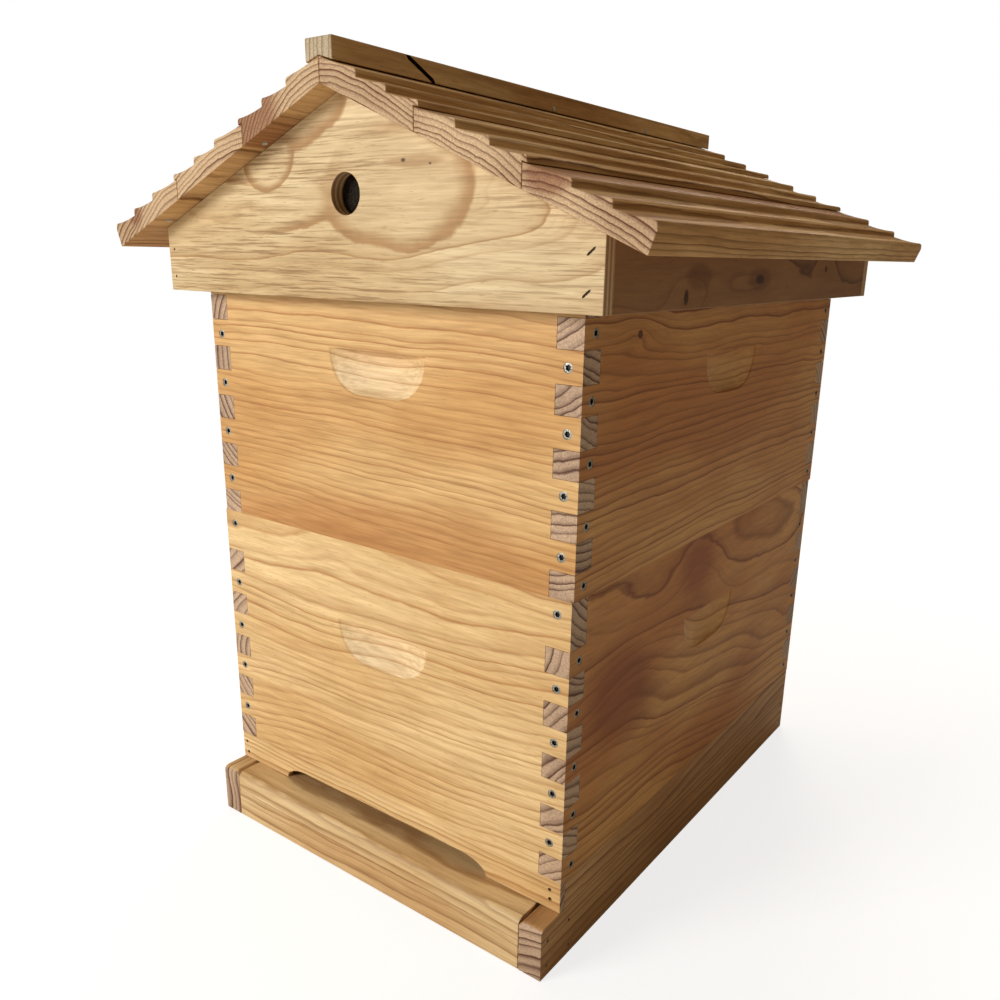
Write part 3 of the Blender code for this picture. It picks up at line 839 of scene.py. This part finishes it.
LOWER_PINE = tones(early=(238, 205, 150), late=(186, 132, 76), heart=(222, 181, 122))
# Darker, redder pine for the right side boards, with a darker and weaker grip colour: painted shade of
# the side that faces away from the key light
SHADED_SIDE_PINE = {
    **tones(
        early=(214, 160, 96), late=(130, 70, 30), heart=(190, 124, 64), bare=(232, 190, 134),
        bare_late=(190, 134, 82), stain=(138, 62, 28),
    ),
    "freshness": 0.62,
}
ROOF_PINE = tones(
    early=(222, 184, 132), late=(122, 80, 44), heart=(196, 150, 98), end_early=(222, 190, 152),
    end_late=(112, 68, 46), stain=(138, 74, 42),
)
# Near-black pine for the walls of the cap's crack: painted shade deep in the split
CRACK_SHADE_PINE = tones(
    early=(44, 28, 18), late=(20, 12, 8), heart=(34, 22, 14), end_early=(44, 28, 18),
    end_late=(20, 12, 8),
)
GREY_END = {**ROOF_PINE, "end_early": colour(206, 190, 160), "end_late": colour(140, 112, 84)}
BASE_PINE = tones(early=(230, 201, 152), late=(168, 124, 76), heart=(212, 172, 120))
# Darker, greyer base pine for the right rail and the rim's right board: painted shade of the right side
SHADED_RAIL_PINE = tones(early=(204, 160, 108), late=(124, 78, 44), heart=(178, 130, 82))
FRAME_PINE = tones(
    early=(238, 210, 162), late=(204, 160, 104), heart=(228, 194, 142), end_early=(234, 204, 156),
    end_late=(204, 162, 110),
)
GABLE_VENEER = tones(
    early=(225, 201, 157), late=(174, 132, 82), heart=(210, 180, 132), stain=(168, 128, 82),
    knot=(58, 40, 30), hatch=(150, 114, 72),
)
APRON_VENEER = tones(
    early=(152, 108, 66), late=(96, 58, 32), heart=(132, 88, 52), stain=(112, 68, 38),
    knot=(52, 28, 14),
)

super_z = SUPER_LOW.z
brood_z = BROOD_LOW.z
GRIP_HALF_WIDTH = 0.056
GRIP_BOTTOM = 0.120
GRIP_TOP = 0.175
GRIP_SKIN = 0.0009
GRIP_DEPTH = 0.0145


def grip_box(node):
    """The space of the hand grip that is routed into a board's outer face."""
    low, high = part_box(node)
    middle = (low + high) / 2
    across = 0 if high.y - low.y < high.x - low.x else 1
    into = 1 - across
    start, end = Vector(low), Vector(high)
    start[across] = middle[across] - GRIP_HALF_WIDTH
    end[across] = middle[across] + GRIP_HALF_WIDTH
    start.z, end.z = low.z + GRIP_BOTTOM, low.z + GRIP_TOP
    if middle[into] < 0:
        start[into], end[into] = low[into] + GRIP_SKIN, low[into] + GRIP_DEPTH
    else:
        start[into], end[into] = high[into] - GRIP_DEPTH, high[into] - GRIP_SKIN
    return start, end


def pine_board(grain, pith, seed, **more):
    """A board's look: the axis of its grain, where its pith lies across that axis, and a seed."""
    return {"grain": grain, "pith": pith, "seed": seed, **more}


def roof_board(pith, seed, ring, tone=ROOF_PINE, **more):
    """A slat or the cap: matt sawn wood, with its grain along the roof."""
    return pine_board(
        "Y", pith, seed, ring=ring, tone=tone,
        gloss=0.12, rough=0.55, swing=0.020, ripple=0.0042, fibre=0.85, **more,
    )


BOARDS = {
    "super_front": pine_board(
        "X", (FRONT_Y + 0.055, super_z + 0.245), 2.0, ring=0.0062, swing=0.030, ripple=0.0070,
        lean=(0.02, 0.03), fibre=0.80, stains=(((0.02, FRONT_Y, super_z - 0.004), (0.30, 0.3, 0.050)),),
        tone=tones(stain=(186, 124, 66)),
    ),
    "super_rear": pine_board("X", (REAR_Y - 0.080, super_z + 0.05), 12.0),
    "super_right": pine_board(
        "Y", (0.130, super_z + 0.290), 21.0, ring=0.0066, swing=0.034, ripple=0.0080, tone=SHADED_SIDE_PINE,
        knots=(((0.201, -0.187, 0.5097), (0.02, 0.0040, 0.0036)),),
    ),
    "super_left": pine_board("Y", (-0.120, super_z + 0.150), 25.0, ring=0.0065),
    "brood_front": pine_board(
        "X", (FRONT_Y + 0.075, brood_z + 0.275), 33.0, ring=0.0082, swing=0.050, ripple=0.0080,
        lean=(0.03, -0.08), tone=LOWER_PINE, flecks=0.6, fibre=0.80,
    ),
    "brood_rear": pine_board("X", (REAR_Y - 0.060, brood_z + 0.19), 37.0, tone=LOWER_PINE),
    "brood_right": pine_board(
        "Y", (0.060, brood_z + 0.230), 45.0, ring=0.0085,
        swing=0.060, ripple=0.0060, tone=SHADED_SIDE_PINE, lean=(0.0, 0.12),
        swirls=(
            ((0.20, -0.165, brood_z + 0.135), (0.2, 0.075, 0.050), 0.020),
            ((0.20, -0.035, brood_z + 0.205), (0.2, 0.060, 0.045), 0.016),
        ),
        stains=(
            ((0.20, -0.185, brood_z + 0.140), (0.2, 0.075, 0.060)),
            ((0.20, -0.050, brood_z + 0.215), (0.2, 0.055, 0.045)),
        ),
    ),
    "brood_left": pine_board("Y", (-0.130, brood_z + 0.10), 49.0, ring=0.0065),
    "base_rail_left": pine_board("Y", (-0.38, 0.04), 52.0, ring=0.0075, tone=BASE_PINE),
    "base_rail_right": pine_board(
        "Y", (0.21, -0.07), 55.0, ring=0.0074, tone=SHADED_RAIL_PINE, ripple=0.003, swing=0.012,
    ),
    "landing_board": pine_board(
        "X", (FRONT_Y + 0.02, -0.02), 61.0, tone=BASE_PINE, ring=0.0075, swing=0.026, ripple=0.006,
    ),
    "floor_board_1": pine_board("X", (-0.10, -0.05), 62.0),
    "floor_board_2": pine_board("X", (0.05, -0.04), 63.0),
    "floor_board_3": pine_board("X", (0.18, -0.06), 64.0),
    "cross_rail_front": pine_board(
        "X", (FRONT_Y + 0.06, 0.09), 66.0, tone=BASE_PINE, ring=0.0070, swing=0.020, ripple=0.006,
    ),
    "cross_rail_rear": pine_board("X", (REAR_Y - 0.05, 0.07), 67.0),
    "rim_front": pine_board(
        "X", (FRONT_Y + 0.05, 0.015), 71.0, tone=LOWER_PINE, ring=0.0050, swing=0.014,
    ),
    "rim_left": pine_board("Y", (-0.26, 0.03), 72.0),
    "rim_right": pine_board("Y", (0.28, 0.01), 73.0, tone=SHADED_RAIL_PINE, ring=0.006),
    "rim_rear": pine_board("X", (REAR_Y + 0.03, 0.02), 74.0),
    "roof_slat_left_1": roof_board(
        (0.02, 0.60), 81.0, ring=0.0036, stains=(((-0.078, 0.0, 0.665), (0.036, 9.0, 0.06)),),
    ),
    "roof_slat_left_2": roof_board((-0.048, 0.43), 82.0, ring=0.0037),
    "roof_slat_left_3": roof_board(
        (-0.12, 0.45), 83.0, ring=0.0044, stains=(((-0.243, 0.0, 0.592), (0.014, 9.0, 0.014)),),
    ),
    "roof_slat_right_1": roof_board((-0.045, 0.46), 84.0, ring=0.0037),
    "roof_slat_right_2": roof_board((0.05, 0.44), 85.0, ring=0.0036),
    "roof_slat_right_3": roof_board(
        (0.14, 0.40), 86.0, ring=0.0040, stains=(((0.196, 0.0, 0.612), (0.022, 9.0, 0.016)),),
    ),
    "ridge_cap": roof_board((0.10, 0.68), 88.0, ring=0.0046, tone=GREY_END),
    "roof_batten_front": pine_board("X", (-0.22, 0.62), 91.0),
    "roof_batten_rear": pine_board("X", (0.22, 0.55), 92.0),
}
for box_name in ("brood", "super"):
    for wall in ("front", "rear", "left", "right"):
        BOARDS[f"{box_name}_{wall}"]["bare"] = (grip_box(f"{box_name}_{wall}"),)

PLY_EDGES = tones(edge_light=(214, 182, 138), edge_dark=(146, 108, 74))
GABLE_FIGURE = dict(
    ring=0.0115, swing=0.085, ripple=0.0090, tone=GABLE_VENEER, profile=VENEER_PROFILE,
    fibre=0.75, flecks=0.5, hatch=0.80, **PLY_EDGES,
)


def gable_spot(across, up):
    """A place on the front gable's face, from the middle of its vent hole."""
    return (VENT_X + across, GABLE_Y, VENT_Z + up)


def veneered_boards():
    gable_thickness = GABLE_HIGH.y - GABLE_LOW.y
    rear_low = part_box("gable_rear")[0]
    yield "gable_front", pine_board(
        "X", (GABLE_Y + 0.20, VENT_Z + 0.06), 101.0, **GABLE_FIGURE,
        plies=(1, GABLE_Y, gable_thickness),
        knots=(
            (gable_spot(0.0590, 0.021), (0.0024, 0.02, 0.0015)),
            (gable_spot(0.0841, 0.018), (0.0014, 0.02, 0.0009)),
        ),
        stains=((gable_spot(0.068, 0.020), (0.030, 0.05, 0.0040)),),
        calm=(gable_spot(0.020, 0.045), (0.150, 0.3, 0.080)),
        halos=(
            (
                (
                    (gable_spot(0.050, 0.002), (0.076, 0.3, 0.044)),
                    (gable_spot(-0.085, -0.002), (0.075, 0.3, 0.026)),
                ),
                ((0.55, 0.0, -1.0), 0.55 * VENT_X - VENT_Z - 0.045, 0.55 * VENT_X - VENT_Z - 0.005),
            ),
            (
                (
                    (gable_spot(-0.042, 0.078), (0.050, 0.3, 0.042)),
                    (gable_spot(-0.088, 0.026), (0.030, 0.3, 0.023)),
                ),
                ((0.0, -1.0, 0.0), -1.0, 0.0),
            ),
        ),
    )
    yield "gable_rear", pine_board(
        "X", (rear_low.y - 0.20, VENT_Z + 0.03), 105.0, **GABLE_FIGURE,
        plies=(1, rear_low.y, gable_thickness),
    )
    for name, side, seed in (("left", -1, 111.0), ("right", 1, 114.0)):
        low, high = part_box("apron_" + name)
        outer = high.x if side > 0 else low.x
        yield "apron_" + name, pine_board(
            "Y", (outer - side * 0.22, 0.60), seed, ring=0.012,
            swing=0.070, ripple=0.0080, tone=APRON_VENEER, profile=VENEER_PROFILE,
            plies=(0, low.x, high.x - low.x), **PLY_EDGES,
            knots=(
                ((outer, -0.0300, 0.5480), (0.02, 0.0100, 0.0042)),
                ((outer, 0.1374, 0.5560), (0.02, 0.0036, 0.0036)),
                ((outer, -0.1680, 0.5365), (0.02, 0.0040, 0.0060)),
            ),
            stains=(
                ((outer, -0.147, 0.5510), (0.05, 0.021, 0.0090)),
                ((outer, -0.030, 0.5480), (0.05, 0.026, 0.0100)),
            ),
        )
    for name in ("panel", "batten_left", "batten_right", "batten_front", "batten_rear"):
        low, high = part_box("cover_" + name)
        grain = "Y" if "left" in name or "right" in name else "X"
        plies = (2, low.z, high.z - low.z)
        yield "cover_" + name, pine_board(
            grain, (0.1, 0.9), 120.0 + len(name), plies=plies, **GABLE_FIGURE
        )


boards = {}
for node, look in BOARDS.items():
    boards[node] = finished_board(node, Pine(node + "_pine", look).material)
for node, look in veneered_boards():
    boards[node] = finished_board(node, plywood(node + "_veneer", look))


# Frames --------------------

FRAMES = 10
MIDDLE_FRAME = "_frame_05"
CELL = 0.0054
CELL_WALL = (0.40 * CELL, 0.48 * CELL)
CELL_BUMP = (0.7, 0.0006)
# The wax sheet's edges: from the frame's middle, below its top and over its underside
SHEET_END = (0.2135, 0.2140)
SHEET_TOP = (0.0203, 0.0200)
SHEET_BOTTOM = (0.0096, 0.0099)
SHEET_FACING = (0.6, 0.8)


def embossed(shader, place):
    """How far a point of the wax is from the middle of its six-sided cell."""
    row = CELL * math.sqrt(3)
    distances = []
    for shift in (0.0, 0.5):
        across = shader.less(shader.math("DIVIDE", place[1], CELL), shift)
        rise = shader.less(shader.math("DIVIDE", place[2], row), shift)
        across = shader.less(shader.math("FRACT", across), 0.5)
        rise = shader.less(shader.math("FRACT", rise), 0.5)
        across = shader.size(shader.product(across, CELL))
        rise = shader.size(shader.product(rise, row))
        slanted = shader.total(
            shader.product(across, 0.5), shader.product(rise, math.sqrt(3) / 2)
        )
        distances.append(shader.math("MAXIMUM", across, slanted))
    return shader.math("MINIMUM", *distances)


def frame_material(name, prefix, seed):
    """Pale pine bars round a sheet of embossed wax."""
    low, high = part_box(prefix + MIDDLE_FRAME)
    shader = Pine(name, pine_board("Y", (0.4, high.z + 0.1), seed, tone=FRAME_PINE))
    wall = shader.step(embossed(shader, shader.place), *CELL_WALL)
    # Wax pale on the raised cell walls and darker in the cells' sunken middles: painted shade in the
    # hollows of the embossing
    wax = shader.mix(wall, colour(214, 158, 62), colour(240, 196, 104))
    flat = shader.step(shader.size(shader.normal[0]), *SHEET_FACING)
    middle = (low.y + high.y) / 2
    ends = shader.size(shader.less(shader.place[1], middle))
    within = shader.step(ends, *SHEET_END, 1.0, 0.0)
    under = shader.step(shader.place[2], *[high.z - gap for gap in SHEET_TOP], 1.0, 0.0)
    over = shader.step(shader.place[2], *[low.z + gap for gap in SHEET_BOTTOM])
    sheet = shader.product(flat, within, shader.product(under, over))
    shader.recolour(sheet, shader.base_colour(), wax)
    shader.bump(shader.product(wall, sheet), *CELL_BUMP)
    return shader.material


for prefix, seed in (("brood", 140.0), ("super", 150.0)):
    material = frame_material(prefix + "_frame_wood", prefix, seed)
    for index in range(FRAMES):
        finished_board(f"{prefix}_frame_{index + 1:02d}", material, FRAME_EDGE_EASE)


# Vent screens --------------------

WIRE_PITCH = 0.0016
WIRE_RADIUS = 0.00018
WIRE_SIDES = 5


def build_screen(low, high):
    """Woven wires: each one waves over and under those that cross it."""
    middle = (low.y + high.y) / 2

    def wire(shape, fixed, start, end, runs_up, flip):
        step = WIRE_PITCH / 2
        count = int(round((end - start) / step))
        previous = None
        for i in range(count + 1):
            run = start + i * step
            wave = WIRE_RADIUS * math.cos(math.pi * i / 2 + (math.pi if flip else 0.0))
            ring = []
            for k in range(WIRE_SIDES):
                turn = 2 * math.pi * k / WIRE_SIDES
                off = WIRE_RADIUS * math.cos(turn)
                depth = middle + wave + WIRE_RADIUS * math.sin(turn)
                if runs_up:
                    ring.append(shape.verts.new((fixed + off, depth, run)))
                else:
                    ring.append(shape.verts.new((run, depth, fixed + off)))
            if previous:
                bridge(shape, previous, ring)
            previous = ring

    def build(shape):
        count = int((high.x - low.x) / WIRE_PITCH)
        for i in range(count):
            across = low.x + (i + 0.5) * WIRE_PITCH
            up = low.z + (i + 0.5) * WIRE_PITCH
            wire(shape, across, low.z, high.z, True, i % 2 == 0)
            wire(shape, up, low.x, high.x, False, i % 2 == 1)
        bmesh.ops.recalc_face_normals(shape, faces=shape.faces)

    return build


screen_wire = metal("screen_wire", STEEL, 0.5, 0.8)
for end in ("front", "rear"):
    node = "vent_mesh_" + end
    low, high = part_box(node)
    screen = new_mesh_object("vent_screen_" + end, build_screen(low, high))
    screen.data.shade_smooth()
    screen.data.materials.append(screen_wire)
    stand_for(screen, node)


# Fasteners in place --------------------

# Nails, brads and staples, from the edges of the part that they are in. The cap's nails and
# its split are placed along the roof by their own y.
RIM_BRADS_RIGHT = ((0.0105, 0.0102), (0.0100, 0.0190))
RIM_BRADS_LEFT = ((0.0060, 0.0100), (0.0075, 0.0221))
RAIL_NAILS = ((0.0096, 0.0345), (0.0087, 0.0101), (0.0407, 0.0341), (0.0417, 0.0083), (0.4728, 0.0186))
REAR_RAIL_NAILS = RAIL_NAILS[:2]
GABLE_BRAD_INSET = 0.0074
GABLE_BRAD_HEIGHTS = (0.0120, 0.0353)
STAPLES = ((0.0104, 0.0390), (0.0129, 0.0131))
STAPLE_TURN = math.radians(40)
CAP_NAILS = (-0.0310, 0.1460)
CAP_NAIL_HEIGHT = 0.0030
CRACK_Y = -0.2140
CRACK_DROP = 0.0080
CRACK_TURN = math.radians(-24)
# Nails under the slats, in front of the gable: the slat, and how far across
SOFFIT_NAILS = (
    ("roof_slat_left_1", -0.0804), ("roof_slat_left_3", -0.2140),
    ("roof_slat_right_1", 0.0790), ("roof_slat_right_3", 0.2140),
)
SOFFIT_NAIL_GAP = 0.0065
UNDER_THE_ROOF = 0.50

screw_metal = metal("screw_zinc", ZINC, 1.0, 0.75, ZINC_BUMP)
# The zinc made brighter and hardly metallic for the nails, so that they show as pale dots in shade:
# partly the zinc's own pale colour, partly painted highlight
zinc_with_painted_glint = metal("nail_zinc", ZINC, 1.35, 0.15, ZINC_BUMP)
# Steel at a fifth of its brightness: the own dark steel of the brads and staples, darkened further as
# painted shade in their pits and slots, and painted shade in the screws' recesses
dark_steel_and_recess_shade = metal("screw_recess", STEEL, 0.22, 0.8)
chance = random.Random(7)


def fastener_piece(name, build_one, placements, materials, body):
    made = new_mesh_object(name, lambda shape: join_pieces(shape, build_one, placements))
    for material in materials:
        made.data.materials.append(material)
    made.data.shade_smooth()
    made.data.set_sharp_from_angle(angle=FASTENER_SHARP_ANGLE)
    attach(made, body)


def brads(node, outward, spots, name, pit):
    """Heads of dark steel, darkened further as painted shade of their pits, each sunk in a pit of this
    radius.
    """
    placements = [facing(spot, outward) for spot in spots]
    body = BODY_OF[node]
    cut_pits(boards[node], name + "_pits", build_cone(pit, BRAD_DEPTH), placements, body)
    fastener_piece(name, SUNK_HEAD, placements, (dark_steel_and_recess_shade,), body)


def on_surface(node, start, direction):
    """A placement where a line meets a node, facing as its surface does there."""
    mesh = NODES[node].data
    faces = [tuple(face.vertices) for face in mesh.polygons]
    tree = BVHTree.FromPolygons([vert.co for vert in mesh.vertices], faces)
    spot, outward, _, _ = tree.ray_cast(Vector(start), Vector(direction))
    return facing(spot, outward)


for prefix in ("brood", "super"):
    body = prefix + "_box"
    rows = screw_placements(prefix, chance)
    for node, placements in rows.items():
        cut_pits(boards[node], node + "_pits", build_cone(SCREW_PIT, SCREW_DEPTH), placements, body)
    everything = [matrix for placements in rows.values() for matrix in placements]
    fastener_piece(prefix + "_screws", build_screw, everything, (screw_metal, dark_steel_and_recess_shade), body)

low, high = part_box("rim_front")
spots = [(high.x - across, low.y, high.z - down) for across, down in RIM_BRADS_RIGHT]
spots += [(low.x + across, low.y, high.z - down) for across, down in RIM_BRADS_LEFT]
brads("rim_front", (0, -1, 0), spots, "rim_brads", BRAD_PIT)

for side, outward in (("left", -1), ("right", 1)):
    node = "base_rail_" + side
    low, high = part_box(node)
    outer = high.x if outward > 0 else low.x
    spots = [(outer, low.y + along, low.z + up) for along, up in RAIL_NAILS]
    spots += [(outer, high.y - along, low.z + up) for along, up in REAR_RAIL_NAILS]
    brads(node, (outward, 0, 0), spots, "rail_nails_" + side, RAIL_NAIL_PIT)

spots = [
    (GABLE_LOW.x + GABLE_BRAD_INSET, GABLE_Y, GABLE_LOW.z + up) for up in GABLE_BRAD_HEIGHTS
]
brads("gable_front", (0, -1, 0), spots, "gable_brads", GABLE_BRAD_PIT)
staple_spots = [
    facing((GABLE_HIGH.x - across, GABLE_Y, GABLE_LOW.z + up), (0, -1, 0), STAPLE_TURN)
    for across, up in STAPLES
]
cut_pits(boards["gable_front"], "staple_slots", STAPLE_SLOT, staple_spots, "roof")
fastener_piece("gable_staples", STAPLE, staple_spots, (dark_steel_and_recess_shade,), "roof")

cap_low, cap_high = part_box("ridge_cap")
cap_nails = []
for y in CAP_NAILS:
    nail_z = cap_low.z + CAP_NAIL_HEIGHT
    cap_nails.append(facing((cap_high.x, y, nail_z), (1, 0, 0)))
    cap_nails.append(facing((cap_low.x, y, nail_z), (-1, 0, 0)))
fastener_piece("cap_nails", PROUD_HEAD, cap_nails, (zinc_with_painted_glint,), "roof")
soffit_nails = [
    on_surface(node, (x, GABLE_Y - SOFFIT_NAIL_GAP, UNDER_THE_ROOF), (0, 0, 1))
    for node, x in SOFFIT_NAILS
]
fastener_piece("soffit_nails", PROUD_HEAD, soffit_nails, (zinc_with_painted_glint,), "roof")

crack_spot = facing((cap_high.x, CRACK_Y, cap_high.z - CRACK_DROP), (1, 0, 0), CRACK_TURN)
# The crack's walls are lined with near-black pine: painted shade in the split
crack_shade_wood = Pine("crack_shade_wood", {**BOARDS["ridge_cap"], "tone": CRACK_SHADE_PINE}).material
cut_pits(boards["ridge_cap"], "cap_crack", CRACK, [crack_spot], "roof", crack_shade_wood)


# Camera, light and floor --------------------

# The photo's camera, as fitted to the corners of both boxes
CAMERA_PLACE = (0.5290, -0.7913, 0.5632)
CAMERA_TURN = (1.2759, -0.0189, 0.6323)
CAMERA_LENS = 32.69
CAMERA_SENSOR = 36.0
CAMERA_SHIFT = (-0.0149, 0.0314)
CAMERA_CLIP = (0.05, 200.0)

# Each area light's name, place, target, side, power and colour
LIGHTS = (
    ("key", (-1.72, -3.62, 1.55), (0.0, 0.0, 0.33), 1.6, 118.0, (1.0, 0.985, 0.955)),
    ("top", (-0.60, 0.50, 3.00), (0.0, 0.0, 0.5), 1.8, 26.0, (1.0, 0.96, 0.90)),
    ("back", (-1.60, 3.40, 1.10), (0.0, 0.0, 0.35), 1.6, 60.0, (1.0, 0.97, 0.93)),
)
BACKDROP = (1.0, 1.0, 1.0, 1.0)
FILL_LIGHT = (0.20, 0.165, 0.110, 1.0)

# The floor glows for the camera, wholly so far from the hive, where it meets the backdrop
# without a line
FLOOR_RADIUS = 30.0
FLOOR_DROP = 0.0002
FLOOR_PAPER = (0.86, 0.855, 0.845, 1.0)
FLOOR_GLOW = (1.42, 1.42, 1.43, 1.0)
GLOW_RANGE = (0.45, 1.9)
GLOW_SHARE = (0.45, 0.55)


def add_camera():
    data = bpy.data.cameras.new("camera")
    data.lens = CAMERA_LENS
    data.sensor_width = CAMERA_SENSOR
    data.shift_x, data.shift_y = CAMERA_SHIFT
    data.clip_start, data.clip_end = CAMERA_CLIP
    camera = bpy.data.objects.new("camera", data)
    camera.location = CAMERA_PLACE
    camera.rotation_euler = CAMERA_TURN
    bpy.context.scene.collection.objects.link(camera)
    bpy.context.scene.camera = camera


def add_area_light(name, place, target, size, power, tint):
    data = bpy.data.lights.new(name, "AREA")
    data.shape = "SQUARE"
    data.size = size
    data.energy = power
    data.color = tint
    light = bpy.data.objects.new(name, data)
    light.location = place
    light.rotation_euler = (Vector(target) - Vector(place)).to_track_quat("-Z", "Y").to_euler()
    bpy.context.scene.collection.objects.link(light)


def add_world():
    """A white backdrop for the camera, and a weaker warm fill for the object."""
    world = bpy.data.worlds.new("studio")
    bpy.context.scene.world = world
    world.use_nodes = True
    tree = world.node_tree
    background = tree.nodes["Background"]
    seen = tree.nodes.new("ShaderNodeLightPath")
    level = tree.nodes.new("ShaderNodeMix")
    level.data_type = "RGBA"
    level.inputs[6].default_value = FILL_LIGHT
    level.inputs[7].default_value = BACKDROP
    tree.links.new(seen.outputs["Is Camera Ray"], level.inputs[0])
    tree.links.new(level.outputs[2], background.inputs["Color"])


def add_floor():
    """A wide pale floor that takes soft shadows."""

    def build(shape):
        bmesh.ops.create_circle(shape, cap_ends=True, segments=64, radius=FLOOR_RADIUS)

    floor = new_mesh_object("floor", build)
    floor.location.z = -FLOOR_DROP
    shader = Shader("floor_paper", roughness=0.9)
    shader.principled.inputs["Base Color"].default_value = FLOOR_PAPER
    tree = shader.tree
    place = shader.split(shader.node("ShaderNodeTexCoord").outputs["Object"])
    squares = [shader.product(place[axis], place[axis]) for axis in (0, 1)]
    distance = shader.root(shader.total(*squares))
    far = shader.step(distance, *GLOW_RANGE)
    glow = shader.node("ShaderNodeEmission")
    shader.put(glow.inputs["Color"], shader.mix(far, FLOOR_GLOW, BACKDROP))
    blend = shader.node("ShaderNodeMixShader")
    seen = shader.node("ShaderNodeLightPath").outputs["Is Camera Ray"]
    share = shader.math("MULTIPLY_ADD", far, *GLOW_SHARE)
    shader.put(blend.inputs[0], shader.product(seen, share))
    tree.links.new(shader.principled.outputs[0], blend.inputs[1])
    tree.links.new(glow.outputs[0], blend.inputs[2])
    tree.links.new(blend.outputs[0], tree.nodes["Material Output"].inputs["Surface"])
    floor.data.materials.append(shader.material)
    floor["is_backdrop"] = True


add_camera()
add_world()
add_floor()
for light in LIGHTS:
    add_area_light(*light)
bpy.context.scene.view_settings.view_transform = "Standard"

low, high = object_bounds()
